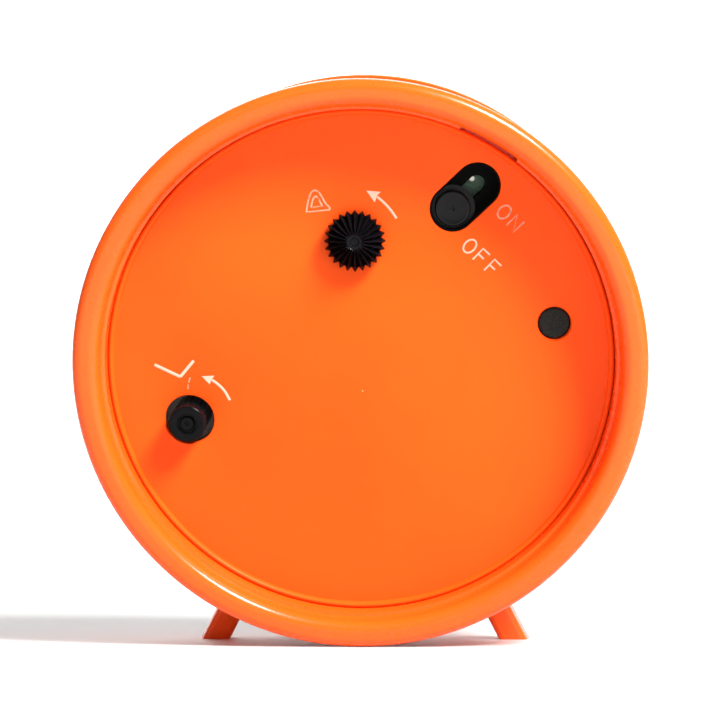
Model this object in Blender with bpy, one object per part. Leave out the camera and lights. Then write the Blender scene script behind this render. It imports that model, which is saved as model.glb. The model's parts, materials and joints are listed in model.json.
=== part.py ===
# Round analogue alarm clock in orange plastic, leaning back on its rear rim and two pegs.
# The clock is laid out about its own axis: y runs from the dial (minus) to the back (plus),
# z is up the dial and x is across it. One tilted empty then leans the whole clock back.
# The origin is on the floor, below the middle of the whole clock.

import bpy
import bmesh
from math import asin, atan2, cos, degrees, hypot, pi, radians, sin, tau
from mathutils import Matrix, Vector

for old in list(bpy.data.objects):
    bpy.data.objects.remove(old)

mm = 0.001

# ---------------------------------------------------------------- driving sizes
case_radius = 55.0 * mm            # rear rim and front bezel
case_depth = 46.0 * mm             # rear rim face to bezel face
lean_back = radians(15.0)          # from upright
wall = 2.0 * mm                    # moulded walls of the drum
gap = 0.3 * mm                     # between still pieces
run_gap = 0.15 * mm                # around shafts, pipes and small stems
recess_depth = 9.0 * mm            # rim face down to the back cover
cover_thickness = 1.6 * mm
knob_radius = 3.6 * mm             # time-setting knob
crown_radius = 5.9 * mm            # alarm-setting crown
button_radius = 2.9 * mm           # press button in the back cover
slider_radius = 3.4 * mm           # round top of the alarm switch
slider_travel = 6.5 * mm
cell_radius = 7.1 * mm             # AA cell
cell_length = 49.3 * mm
round_steps = 48                   # facets round the case
small_steps = 16                   # facets round shafts and screws

# ------------------------------------------------- places along the clock's axis
front = -case_depth
rim_round = 1.8 * mm
cover_face = -recess_depth
cover_inside = cover_face - cover_thickness
ledge_face = cover_inside - gap
ledge_thickness = 1.6 * mm
bezel_depth = 6.7 * mm
bezel_round = 2.0 * mm
drum_front = front + bezel_depth + gap
lens_rear = front + 4.6 * mm
lens_thickness = 1.6 * mm
dial_front = front + 9.4 * mm
dial_thickness = 0.8 * mm
dial_rear = dial_front + dial_thickness
chassis_front = dial_rear + gap
chassis_thickness = 2.2 * mm
chassis_rear = chassis_front + chassis_thickness
seat_front = chassis_rear + gap
seat_thickness = 1.5 * mm
seat_rear = seat_front + seat_thickness
works_front = chassis_rear + gap
plate_thickness = 1.5 * mm
frame_front = works_front + plate_thickness
frame_rear = frame_front + 10.0 * mm
works_rear = frame_rear + plate_thickness
board_front = works_rear + 1.4 * mm
board_thickness = 1.2 * mm
board_rear = board_front + board_thickness

rim_step = -6.5 * mm               # the rim's outer edge ends and the narrower drum begins
rim_skirt_end = -4.6 * mm          # foot of the rim's inner lip
skirt_slope = 0.4 * mm
skirt_groove = -3.6 * mm           # where the drum wall meets the rim, inside
groove_slope = 1.9 * mm

# ------------------------------------------------------ places across the clock
rim_width = 5.1 * mm
skirt_radius = case_radius - rim_width
drum_radius = case_radius - 0.8 * mm
drum_inside = drum_radius - wall
cover_radius = skirt_radius - 0.4 * mm - gap
seat_radius = drum_inside - 4.7 * mm
skirt_outside = skirt_radius + 0.8 * wall
ledge_inside = cover_radius - 1.8 * mm
chassis_screw_circle = (seat_radius + drum_inside) / 2
lens_radius = case_radius - 4.8 * mm
lip_radius = case_radius - 6.5 * mm
lens_dome = 1.3 * mm

# --------------------------------------------------------------- gears and hands
set_module = case_radius / 78.5
set_knob_teeth = 17
set_idler_teeth = 23
minute_teeth = 38
alarm_knob_teeth = 17
alarm_idler_teeth = 16
alarm_teeth = 20
cannon_teeth = 12
motion_teeth = 36
motion_pinion_teeth = 10
hour_teeth = 40
pinion_teeth = 8
third_teeth = 60
centre_teeth = 64
second_teeth = 50
drive_pinion_teeth = 10
drive_teeth = 48

motion_distance = case_radius * 0.175
third_distance = case_radius * 0.164
drive_module = case_radius / 220.0
drive_distance = drive_module * (second_teeth + drive_pinion_teeth) / 2
rotor_distance = drive_module * (drive_teeth + pinion_teeth) / 2
cannon_module = 2 * motion_distance / (cannon_teeth + motion_teeth)
hour_module = 2 * motion_distance / (motion_pinion_teeth + hour_teeth)
third_module = 2 * third_distance / (pinion_teeth + third_teeth)
centre_module = 2 * third_distance / (pinion_teeth + centre_teeth)

time_direction = radians(-18.2)
alarm_direction = radians(88.1)
motion_direction = radians(200.0)
third_direction = radians(75.0)
drive_direction = radians(150.0)

arbor_radius = 0.5 * mm
minute_pipe = 1.4 * mm
hour_pipe = 2.3 * mm
alarm_pipe = 3.2 * mm
shaft_radius = 1.2 * mm
crown_stem_radius = shaft_radius + 1.4 * mm
lamp_radius = 1.5 * mm
shaft_tip = 0.4 * mm               # left free behind each arbor
hand_thickness = 0.5 * mm


def polar(distance, direction, centre=(0.0, 0.0)):
    return (centre[0] + distance * cos(direction), centre[1] + distance * sin(direction))


def pitch_radius(teeth, module):
    return teeth * module / 2


set_idler_at = polar(pitch_radius(minute_teeth + set_idler_teeth, set_module), time_direction)
time_at = polar(pitch_radius(minute_teeth + 2 * set_idler_teeth + set_knob_teeth, set_module), time_direction)
alarm_idler_at = polar(pitch_radius(alarm_teeth + alarm_idler_teeth, set_module), alarm_direction)
alarm_reach = pitch_radius(alarm_teeth + 2 * alarm_idler_teeth + alarm_knob_teeth, set_module)
alarm_at = polar(alarm_reach, alarm_direction)
motion_at = polar(motion_distance, motion_direction)
third_at = polar(third_distance, third_direction)
drive_at = polar(drive_distance, drive_direction)
rotor_at = polar(drive_distance + rotor_distance, drive_direction)
slider_direction = radians(137.0)
slider_on_at = (-0.412433 * case_radius, 0.6276 * case_radius)
slider_off_at = polar(-slider_travel, slider_direction, slider_on_at)
slider_mid_at = polar(slider_travel / 2, slider_direction, slider_off_at)
button_at = (-0.684 * case_radius, 0.142 * case_radius)
lamp_at = (0.0, -0.8 * case_radius)
tray_side = 1.1 * mm
tray_clear = 0.3 * mm
tray_inner_width = cell_length + 4.2 * mm
tray_inner_height = 2 * (cell_radius + tray_clear)
tray_half_width = tray_inner_width / 2 + tray_side
tray_half_height = tray_inner_height / 2 + tray_side
# the tray sits as low as its corners allow inside the seat ring
cell_at = tray_half_height - (max(seat_radius - gap, tray_half_width) ** 2 - tray_half_width ** 2) ** 0.5

# ------------------------------------------------------------------- the stance
stance_height = (case_radius - rim_round) * cos(lean_back) + rim_round * (1 - sin(lean_back))
back_reach = (case_radius - rim_round) * sin(lean_back) - rim_round * cos(lean_back) + rim_round
front_reach = (case_radius - bezel_round) * sin(lean_back) + bezel_round
front_reach -= (front + bezel_round) * cos(lean_back)
stance_back = (front_reach - back_reach) / 2
clock = bpy.data.objects.new("clock_axis", None)
clock.location = (0, stance_back, stance_height)
clock.rotation_euler = (-lean_back, 0, 0)
bpy.context.collection.objects.link(clock)


# ------------------------------------------------------------------- materials
def material(name, colour, roughness, metallic=0.0, alpha=1.0):
    made = bpy.data.materials.new(name)
    made.use_nodes = True
    shader = made.node_tree.nodes["Principled BSDF"]
    shader.inputs["Base Color"].default_value = (*colour, 1.0)
    shader.inputs["Roughness"].default_value = roughness
    shader.inputs["Metallic"].default_value = metallic
    shader.inputs["Alpha"].default_value = alpha
    return made


def plastic(name, colour):
    return material(name, colour, 0.35)


def metal(name, colour):
    return material(name, colour, 0.3, 1.0)


orange = (0.95, 0.18, 0.02)
black = (0.012, 0.012, 0.013)
ivory = (0.82, 0.80, 0.74)
brass = (0.72, 0.52, 0.22)
steel = (0.62, 0.62, 0.64)
white_resin = (0.86, 0.86, 0.84)


# -------------------------------------------------------------------- outlines
def circle(radius, steps=small_steps, centre=(0.0, 0.0)):
    return [polar(radius, tau * i / steps, centre) for i in range(steps)]


def arc(centre, radius, start, end, steps=4):
    sweep = radians(end - start)
    return [polar(radius, radians(start) + sweep * i / steps, centre) for i in range(steps + 1)]


def slot(radius, length, direction, centre, steps=12):
    near = polar(-length / 2, direction, centre)
    far = polar(length / 2, direction, centre)
    turn = degrees(direction)
    return arc(far, radius, turn - 90, turn + 90, steps) + arc(near, radius, turn + 90, turn + 270, steps)


def rectangle(width, height, centre=(0.0, 0.0)):
    x, z = centre
    return [(x - width / 2, z - height / 2), (x + width / 2, z - height / 2),
            (x + width / 2, z + height / 2), (x - width / 2, z + height / 2)]


def belt(points):
    # outline that a tight belt takes round a set of points
    def half(ordered):
        kept = []
        for x, z in ordered:
            while len(kept) > 1:
                (ax, az), (bx, bz) = kept[-2], kept[-1]
                if (bx - ax) * (z - az) - (bz - az) * (x - ax) > 1e-12:
                    break
                kept.pop()
            kept.append((x, z))
        return kept[:-1]

    ordered = sorted(set(points))
    return half(ordered) + half(ordered[::-1])


def belt_round(circles, inset=0.0):
    points = []
    for centre, radius in circles:
        points += circle(radius - inset, 24, centre)
    return belt(points)


def gear(teeth, module, phase=0.0):
    pitch = pitch_radius(teeth, module)
    step = tau / teeth
    corners = [(0.0, pitch + 0.8 * module), (0.5, pitch - 1.1 * module)]
    return [polar(radius, phase + (tooth + share) * step)
            for tooth in range(teeth) for share, radius in corners]


def meshed_phase(phase, teeth, other_teeth, direction):
    # phase of a gear lying in the given direction from one whose phase is known
    lead = ((phase - direction) / (tau / teeth)) % 1.0
    return direction + pi + (0.5 - lead) * tau / other_teeth


# ---------------------------------------------------------------------- solids
def lathe(outline, steps=small_steps):
    # turns a closed outline of (radius, y) points, or one that starts and ends on the axis
    form = bmesh.new()
    points = [form.verts.new((radius, y, 0.0)) for radius, y in outline]
    edges = [form.edges.new(pair) for pair in zip(points, points[1:])]
    if outline[0][0] > 0.0:
        edges.append(form.edges.new((points[-1], points[0])))
    bmesh.ops.spin(form, geom=points + edges, axis=(0, 1, 0), cent=(0, 0, 0), angle=tau,
                   steps=steps, use_merge=True, use_duplicate=False)
    bmesh.ops.remove_doubles(form, verts=form.verts, dist=1e-6)
    return form


def prism(loops, y_low, y_high):
    # raises a flat outline, with any further loops as holes, from y_low to y_high
    form = bmesh.new()
    edges = []
    for loop in loops:
        points = [form.verts.new((x, y_low, z)) for x, z in loop]
        edges += [form.edges.new(pair) for pair in zip(points, points[1:] + points[:1])]
    bmesh.ops.triangle_fill(form, use_beauty=True, use_dissolve=False, edges=edges)
    raised = bmesh.ops.extrude_face_region(form, geom=form.faces[:])
    moved = [item for item in raised["geom"] if isinstance(item, bmesh.types.BMVert)]
    bmesh.ops.translate(form, verts=moved, vec=(0, y_high - y_low, 0))
    return form


def rod(radius, y_low, y_high, steps=small_steps):
    return prism([circle(radius, steps)], y_low, y_high)


def make(name, form, look=None, at=(0.0, 0.0), y=0.0, turn=(0.0, 0.0, 0.0)):
    bmesh.ops.recalc_face_normals(form, faces=form.faces)
    mesh = bpy.data.meshes.new(name)
    form.to_mesh(mesh)
    form.free()
    mesh.shade_smooth()
    mesh.set_sharp_from_angle(angle=radians(32))
    made = bpy.data.objects.new(name, mesh)
    made.location = (at[0], y, at[1])
    made.rotation_euler = turn
    bpy.context.collection.objects.link(made)
    if look:
        made.data.materials.append(look)
        made.parent = clock
    return made


def combine(body, tools, operation):
    # applies each tool to the body in turn and takes the tool away
    for tool in tools:
        tool.parent = body.parent
        modifier = body.modifiers.new("combine", "BOOLEAN")
        modifier.operation = operation
        modifier.solver = "EXACT"
        modifier.object = tool
        view = bpy.context.evaluated_depsgraph_get()
        result = bpy.data.meshes.new_from_object(body.evaluated_get(view))
        body.modifiers.clear()
        body.data = result
        bpy.data.objects.remove(tool)
    body.data.shade_smooth()
    body.data.set_sharp_from_angle(angle=radians(32))
    return body


def stack(name, forms, look, at, bore=None):
    # joins coaxial forms into one piece, then bores it right through
    body = make(name, forms[0], look, at)
    combine(body, [make(name + "_part", form, None, at) for form in forms[1:]], "UNION")
    if bore:
        combine(body, [make(name + "_bore", rod(bore, -2 * case_depth, case_depth), None, at)], "DIFFERENCE")
    return body


# ------------------------------------------------------------------------ case
leg_angle = radians(27.0)
leg_width = 5.2 * mm
leg_depth = 8.0 * mm
leg_middle = seat_rear + 0.5 * mm
spigot_y = leg_middle + 2.5 * mm
spigot_radius = 2.2 * mm
screw_radius = 0.8 * mm
head_radius = 1.7 * mm
head_height = 1.1 * mm
leg_turns = {"left": leg_angle, "right": -leg_angle}
notch_radius = 2.2 * mm            # finger notch beside the cover
notch_length = 8.0 * mm
notch_direction = radians(120)


def out_of(direction_turn):
    # turns a form built along +y so that it points out of the clock, down and to one side
    return (Matrix.Rotation(-direction_turn, 4, "Y") @ Matrix.Rotation(-pi / 2, 4, "X")).to_euler()


def radial(name, form, side, look=None):
    return make(name, form, look, y=spigot_y, turn=out_of(leg_turns[side]))


def build_case():
    crown = arc((skirt_radius + rim_round, -rim_round), rim_round, 180, 90, 3)
    crown += arc((case_radius - rim_round, -rim_round), rim_round, 90, 0, 3)
    outline = crown + [
        (case_radius, rim_step),
        (drum_radius, rim_step - (case_radius - drum_radius)),
        (drum_radius, drum_front),
        (drum_inside, drum_front),
        (drum_inside, seat_front),
        (seat_radius, seat_front),
        (seat_radius, seat_rear),
        (drum_inside, seat_rear),
        (drum_inside, skirt_groove - groove_slope),
        (skirt_outside, skirt_groove),
        (skirt_outside, ledge_face - ledge_thickness),
        (ledge_inside, ledge_face - ledge_thickness),
        (ledge_inside, ledge_face),
        (cover_radius + gap, ledge_face),
        (cover_radius + gap, rim_skirt_end - skirt_slope),
        (skirt_radius, rim_skirt_end),
    ]
    look = plastic("case_orange", orange)
    case = make("case_shell", lathe(outline, round_steps), look)

    tools = []
    for place in range(3):
        at = polar(chassis_screw_circle, radians(90 + 120 * place))
        hole = rod(screw_radius + run_gap, seat_front - wall, seat_rear + wall)
        tools.append(make("screw_hole", hole, None, at))
    for side in leg_turns:
        hole = rod(spigot_radius + gap, drum_inside - wall, drum_radius + wall)
        tools.append(radial("spigot_hole", hole, side))
    notch_at = polar(skirt_radius - 0.45 * notch_radius, notch_direction)
    notch = prism([slot(notch_radius, notch_length, notch_direction - pi / 2, notch_at)],
                  ledge_face, rim_skirt_end + 1.2 * mm)
    tools.append(make("finger_notch", notch, None))
    combine(case, tools, "DIFFERENCE")


def build_legs():
    # a square peg runs out from the drum and is cut off flush with the floor
    floor_normal = Vector((0, -sin(lean_back), cos(lean_back)))
    for side, turn in leg_turns.items():
        place = Matrix.Translation((0, spigot_y, 0)) @ out_of(turn).to_matrix().to_4x4()
        shoulder = drum_radius + gap
        peg = prism([rectangle(leg_width, leg_depth, (0.0, spigot_y - leg_middle))],
                    shoulder, case_radius * 1.6)
        bmesh.ops.bevel(peg, geom=[e for e in peg.edges if abs(e.verts[0].co.y - e.verts[1].co.y) > wall],
                        offset=1.1 * mm, segments=3, affect="EDGES", profile=0.5)
        floor_in_peg = place.inverted() @ (floor_normal * -stance_height)
        normal_in_peg = place.to_3x3().inverted() @ floor_normal
        cut = bmesh.ops.bisect_plane(peg, geom=peg.verts[:] + peg.edges[:] + peg.faces[:],
                                     plane_co=floor_in_peg, plane_no=normal_in_peg, clear_inner=True)
        open_edges = [e for e in cut["geom_cut"] if isinstance(e, bmesh.types.BMEdge)]
        bmesh.ops.contextual_create(peg, geom=open_edges)
        leg = radial(side + "_leg", peg, side, plastic(side + "_leg_orange", orange))
        spigot = radial("spigot", rod(spigot_radius, drum_inside - gap, shoulder + wall), side)
        combine(leg, [spigot], "UNION")
        hole = rod(screw_radius + run_gap, drum_inside - wall, shoulder + 6 * mm)
        combine(leg, [radial("leg_screw_hole", hole, side)], "DIFFERENCE")
        seat = drum_inside - gap - run_gap
        screw = lathe([(0.0, seat - head_height), (head_radius, seat - head_height), (head_radius, seat),
                       (screw_radius, seat), (screw_radius, shoulder + 5 * mm), (0.0, shoulder + 5 * mm)])
        radial(side + "_leg_screw", screw, side, metal(side + "_leg_screw_steel", steel))


def build_back_cover():
    # flat disc with its openings, inside a raised rounded bead
    bead = 1.0 * mm
    button_hole = button_radius + gap
    openings = [circle(knob_radius + 1.25 * mm, 28, time_at),
                circle(crown_stem_radius + run_gap, small_steps, alarm_at),
                circle(button_hole, small_steps, button_at),
                slot(slider_radius + 1.0 * mm, slider_travel, slider_direction, slider_mid_at, 10)]
    disc = prism([circle(cover_radius - bead, round_steps)] + openings, cover_inside, cover_face)
    cover = make("back_cover", disc, plastic("cover_orange", orange))
    edge = arc((cover_radius - 0.5 * bead, cover_face + 0.5 * bead), 0.5 * bead, 180, 0, 4)
    edge += [(cover_radius, cover_inside + 0.3 * bead),
             (cover_radius - 1.6 * bead, cover_inside + 0.3 * bead),
             (cover_radius - 1.6 * bead, cover_face - 0.3 * bead)]
    chamfer = 0.45 * mm
    countersink = lathe([(0.0, cover_face - chamfer - wall),
                         (button_hole - wall + chamfer, cover_face - wall),
                         (button_hole + chamfer + wall, cover_face + wall),
                         (0.0, cover_face + wall)], 2 * small_steps - 2)
    combine(cover, [make("bead", lathe(edge, round_steps), None)], "UNION")
    combine(cover, [make("button_chamfer", countersink, None, button_at)], "DIFFERENCE")


def build_front():
    bezel_rear = front + bezel_depth
    outline = [(case_radius, bezel_rear)]
    outline += arc((case_radius - bezel_round, front + bezel_round), bezel_round, 0, -90, 3)
    outline += [
        (lip_radius + 1.6 * mm, front),
        (lip_radius, front + 1.2 * mm),
        (lip_radius, lens_rear - lens_thickness - gap),
        (lens_radius + gap, lens_rear - lens_thickness - gap),
        (lens_radius + gap, dial_rear),
        (drum_inside - gap, dial_rear),
        (drum_inside - gap, bezel_rear),
    ]
    make("front_bezel", lathe(outline, round_steps), plastic("bezel_orange", orange))

    window = lip_radius - gap
    dome_radius = (window ** 2 + lens_dome ** 2) / (2 * lens_dome)
    dome_centre = lens_rear - lens_thickness - lens_dome + dome_radius
    half = degrees(asin(window / dome_radius))
    crest = arc((0.0, dome_centre), dome_radius, -90, -90 + half, 4)
    crest[0] = (0.0, crest[0][1])
    outline = crest + [(lens_radius, lens_rear - lens_thickness), (lens_radius, lens_rear), (0.0, lens_rear)]
    clear = material("lens_clear", (0.9, 0.93, 0.94), 0.05, alpha=0.3)
    make("lens", lathe(outline, 48), clear)

    spacer_front = lens_rear + gap
    spacer_rear = dial_front - gap
    outline = [(lens_radius, spacer_front), (lens_radius, spacer_rear),
               (lens_radius - 3.4 * mm, spacer_rear), (lens_radius - 2.2 * mm, spacer_front)]
    make("lens_spacer", lathe(outline, 48), plastic("spacer_ivory", ivory))

    pipe_hole = circle(alarm_pipe + gap)
    lamp_hole = circle(lamp_radius + run_gap, small_steps, lamp_at)
    dial = prism([circle(lens_radius, round_steps), pipe_hole, lamp_hole], dial_front, dial_rear)
    make("dial", dial, plastic("dial_ivory", ivory))

    screws_at = [polar(chassis_screw_circle, radians(90 + 120 * place)) for place in range(3)]
    holes = [circle(screw_radius + run_gap, small_steps, at) for at in screws_at]
    disc = circle(drum_inside - gap, round_steps)
    chassis = prism([disc, pipe_hole, lamp_hole] + holes, chassis_front, chassis_rear)
    make("dial_chassis", chassis, plastic("chassis_white", white_resin))

    top = seat_rear + gap
    for place, at in enumerate(screws_at):
        screw("chassis_screw_%d" % (place + 1), at, top, chassis_front + gap)


def screw(name, at, seat, end, radius=screw_radius):
    # pan-head screw driven from the back, its head resting at seat
    outline = [(0.0, seat + head_height), (0.7 * head_radius, seat + head_height),
               (head_radius, seat + 0.5 * head_height), (head_radius, seat), (radius, seat),
               (radius, end + radius), (0.5 * radius, end), (0.0, end)]
    make(name, lathe(outline, 10), metal(name + "_steel", steel), at)


# -------------------------------------------------------------------- movement
frame_wall = 2.6 * mm
lobe_radius = pitch_radius(set_knob_teeth, set_module) + set_module + run_gap + frame_wall
works = [((0.0, 0.0), 0.33 * case_radius),
         (alarm_at, lobe_radius),
         (time_at, lobe_radius),
         (polar(0.28 * case_radius, radians(178)), 0.215 * case_radius)]
works_screws = [polar(frame_wall / 2 - radius, direction, centre)
                for (centre, radius), direction in zip(works[1:], (radians(-80), radians(115), radians(-12)))]
board_screws = [(-0.26 * case_radius, 0.17 * case_radius), (-0.2 * case_radius, -0.1 * case_radius)]


def bearing(radius, at=(0.0, 0.0)):
    return circle(radius + run_gap, 12, at)


def build_frame():
    screw_holes = [bearing(screw_radius, at) for at in works_screws]
    front_holes = [circle(alarm_pipe + gap), bearing(arbor_radius + 0.2 * mm, motion_at),
                   bearing(arbor_radius + 0.2 * mm, set_idler_at),
                   bearing(arbor_radius + 0.2 * mm, alarm_idler_at),
                   bearing(arbor_radius, alarm_at), bearing(arbor_radius, time_at)]
    rear_holes = [bearing(arbor_radius), bearing(arbor_radius, third_at), bearing(arbor_radius, drive_at),
                  bearing(arbor_radius, rotor_at), bearing(shaft_radius, alarm_at),
                  bearing(shaft_radius, time_at)]
    rear_holes += [bearing(screw_radius, at) for at in board_screws]
    make("movement_front_plate", prism([belt_round(works)] + front_holes, works_front, frame_front - run_gap),
         plastic("front_plate_white", white_resin))
    make("movement_frame", prism([belt_round(works), belt_round(works, frame_wall)] + screw_holes,
                                 frame_front, frame_rear), plastic("frame_white", white_resin))
    make("movement_back_plate", prism([belt_round(works)] + rear_holes + screw_holes,
                                      frame_rear + run_gap, works_rear), plastic("back_plate_white", white_resin))
    for number, at in enumerate(works_screws):
        screw("movement_screw_%d" % (number + 1), at, works_rear + run_gap, frame_front + 2 * mm)


def hand(name, hub, reach, tip, y_low, bore, angle, look, tail=0.0):
    # a tapered blade with a round hub, pointing at the hour given by its angle
    points = circle(hub) + [(-tip, reach), (tip, reach)]
    if tail:
        points += [(-tip, -tail), (tip, -tail)]
    outline = belt(points)
    return make(name, prism([outline, circle(bore)], y_low, y_low + hand_thickness), look, turn=(0, angle, 0))


def build_centre_train():
    second_y = frame_rear - 1.4 * mm
    pinion_end = second_y - 1.6 * mm
    arbor_front = lens_rear + 0.8 * mm
    stack("second_wheel",
          [prism([gear(second_teeth, drive_module, second_phase)], second_y, second_y + 0.6 * mm),
           prism([gear(pinion_teeth, third_module, second_pinion_phase)], pinion_end, second_y + 0.3 * mm),
           rod(arbor_radius, arbor_front, works_rear - shaft_tip)],
          metal("second_wheel_brass", brass), (0, 0))

    centre_y = pinion_end - 0.9 * mm
    stack("centre_wheel", [prism([gear(centre_teeth, centre_module, centre_phase)],
                                 centre_y, centre_y + 0.6 * mm),
                           rod(2.0 * mm, centre_y - 0.15 * mm, centre_y + 0.75 * mm)],
          metal("centre_wheel_brass", brass), (0, 0), arbor_radius + run_gap)
    third_wheel_y = pinion_end + 0.2 * mm
    stack("third_wheel",
          [prism([gear(third_teeth, third_module, third_phase)], third_wheel_y, third_wheel_y + 0.8 * mm),
           prism([gear(pinion_teeth, centre_module, third_pinion_phase)], centre_y, third_wheel_y + 0.3 * mm),
           rod(arbor_radius, centre_y, works_rear - shaft_tip)],
          metal("third_wheel_brass", brass), third_at)

    minute_y = centre_y - 1.15 * mm
    cannon_end = minute_y - 1.5 * mm
    minute_front = lens_rear + 1.9 * mm
    stack("minute_wheel",
          [prism([gear(minute_teeth, set_module, minute_phase)], minute_y, minute_y + 0.8 * mm),
           prism([gear(cannon_teeth, cannon_module, cannon_phase)], cannon_end, minute_y + 0.4 * mm),
           rod(minute_pipe, minute_front, minute_y + 0.4 * mm)],
          plastic("minute_wheel_white", white_resin), (0, 0), arbor_radius + run_gap)
    idler_pin = frame_front - 1.2 * mm
    stack("time_set_idler",
          [prism([gear(set_idler_teeth, set_module, set_idler_phase)], minute_y, minute_y + 0.8 * mm),
           rod(arbor_radius + 0.2 * mm, idler_pin, minute_y + 0.4 * mm)],
          plastic("time_idler_white", white_resin), set_idler_at)

    hour_y = cannon_end - 1.2 * mm
    motion_y = cannon_end + 0.15 * mm
    stack("motion_wheel",
          [prism([gear(motion_teeth, cannon_module, motion_phase)], motion_y, motion_y + 0.8 * mm),
           prism([gear(motion_pinion_teeth, hour_module, motion_pinion_phase)], hour_y, motion_y + 0.4 * mm),
           rod(arbor_radius + 0.2 * mm, idler_pin, motion_y + 0.4 * mm)],
          plastic("motion_wheel_white", white_resin), motion_at)
    stack("hour_wheel",
          [prism([gear(hour_teeth, hour_module, hour_phase)], hour_y, hour_y + 0.7 * mm),
           rod(hour_pipe, lens_rear + 3.0 * mm, hour_y + 0.35 * mm)],
          plastic("hour_wheel_white", white_resin), (0, 0), minute_pipe + run_gap)

    alarm_y = hour_y - 1.3 * mm
    stack("alarm_wheel",
          [prism([gear(alarm_teeth, set_module, alarm_phase)], alarm_y, alarm_y + 0.8 * mm),
           rod(alarm_pipe, lens_rear + 4.1 * mm, alarm_y + 0.4 * mm)],
          plastic("alarm_wheel_red", (0.6, 0.05, 0.03)), (0, 0), hour_pipe + run_gap)
    stack("alarm_idler",
          [prism([gear(alarm_idler_teeth, set_module, alarm_idler_phase)], alarm_y, alarm_y + 0.8 * mm),
           rod(arbor_radius + 0.2 * mm, idler_pin, alarm_y + 0.4 * mm)],
          plastic("alarm_idler_red", (0.6, 0.05, 0.03)), alarm_idler_at)
    return minute_y, alarm_y, second_y


def build_setting_shafts(minute_y, alarm_y):
    pivot_front = works_front + 0.3 * mm
    knob_rear = -0.5 * recess_depth
    knob_front = board_rear + 0.5 * mm
    time_shaft_rear = knob_front + 4 * mm
    stack("time_set_shaft",
          [prism([gear(set_knob_teeth, set_module, time_phase)], minute_y, minute_y + 0.8 * mm),
           rod(shaft_radius, minute_y + 0.4 * mm, time_shaft_rear),
           rod(arbor_radius, pivot_front, minute_y + 0.6 * mm)],
          metal("time_shaft_brass", brass), time_at)
    stack("alarm_set_shaft",
          [prism([gear(alarm_knob_teeth, set_module, alarm_knob_phase)], alarm_y, alarm_y + 0.8 * mm),
           rod(shaft_radius, alarm_y + 0.4 * mm, cover_inside - 1.5 * mm),
           rod(arbor_radius, pivot_front, alarm_y + 0.6 * mm)],
          metal("alarm_shaft_brass", brass), alarm_at)

    # time knob: a ribbed cylinder with a chamfered end and a cupped middle
    chamfer = 0.5 * mm
    cup = 0.55 * knob_radius
    outline = [(0.0, knob_front), (knob_radius, knob_front), (knob_radius, knob_rear - chamfer),
               (knob_radius - chamfer, knob_rear), (cup, knob_rear), (cup - 0.2 * mm, knob_rear - 0.9 * mm),
               (0.22 * knob_radius, knob_rear - 0.9 * mm), (0.2 * knob_radius, knob_rear - 0.4 * mm),
               (0.0, knob_rear - 0.4 * mm)]
    knob = make("time_set_knob", lathe(outline, 26), plastic("time_knob_black", black), time_at)
    socket = rod(shaft_radius + run_gap, knob_front - wall, time_shaft_rear + run_gap)
    combine(knob, [make("knob_socket", socket, None, time_at)], "DIFFERENCE")


def build_crown():
    # alarm crown: sharp radial ridges on a shallow cone, over a stem that plugs onto the alarm shaft
    ridges = 24
    base = cover_face + 0.5 * mm
    valley = 0.84
    # each ring: tip radius, tip height, valley radius, valley height
    rings = [(crown_radius, base, valley * crown_radius, base),
             (crown_radius, base + 1.7 * mm, valley * crown_radius, base + 0.9 * mm),
             (0.29 * crown_radius, base + 3.9 * mm, 0.27 * crown_radius, base + 3.3 * mm),
             (0.25 * crown_radius, base + 3.5 * mm, 0.25 * crown_radius, base + 3.5 * mm)]
    form = bmesh.new()
    loops = []
    for tip, tip_y, low, low_y in rings:
        points = []
        for i in range(ridges):
            points.append((*polar(tip, tau * i / ridges), tip_y))
            points.append((*polar(low, tau * (i + 0.5) / ridges), low_y))
        verts = [form.verts.new((x, y, z)) for x, z, y in points]
        loops.append([form.edges.new(pair) for pair in zip(verts, verts[1:] + verts[:1])])
    for lower, upper in zip(loops, loops[1:]):
        bmesh.ops.bridge_loops(form, edges=lower + upper)
    bmesh.ops.contextual_create(form, geom=loops[0])
    bmesh.ops.contextual_create(form, geom=loops[-1])
    crown = make("alarm_set_crown", form, plastic("crown_black", black), alarm_at)
    stem_end = cover_inside - 4.5 * mm
    stem = make("crown_stem", rod(crown_stem_radius, stem_end, base + 0.4 * mm), None, alarm_at)
    combine(crown, [stem], "UNION")
    socket = rod(shaft_radius + run_gap, stem_end - wall, cover_inside - 1.5 * mm + run_gap)
    combine(crown, [make("crown_socket", socket, None, alarm_at)], "DIFFERENCE")

    clip = prism([circle(crown_stem_radius + 1.6 * mm), circle(crown_stem_radius + run_gap)],
                 cover_inside - run_gap - 0.6 * mm, cover_inside - run_gap)
    make("crown_clip", clip, metal("clip_steel", steel), alarm_at)


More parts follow.
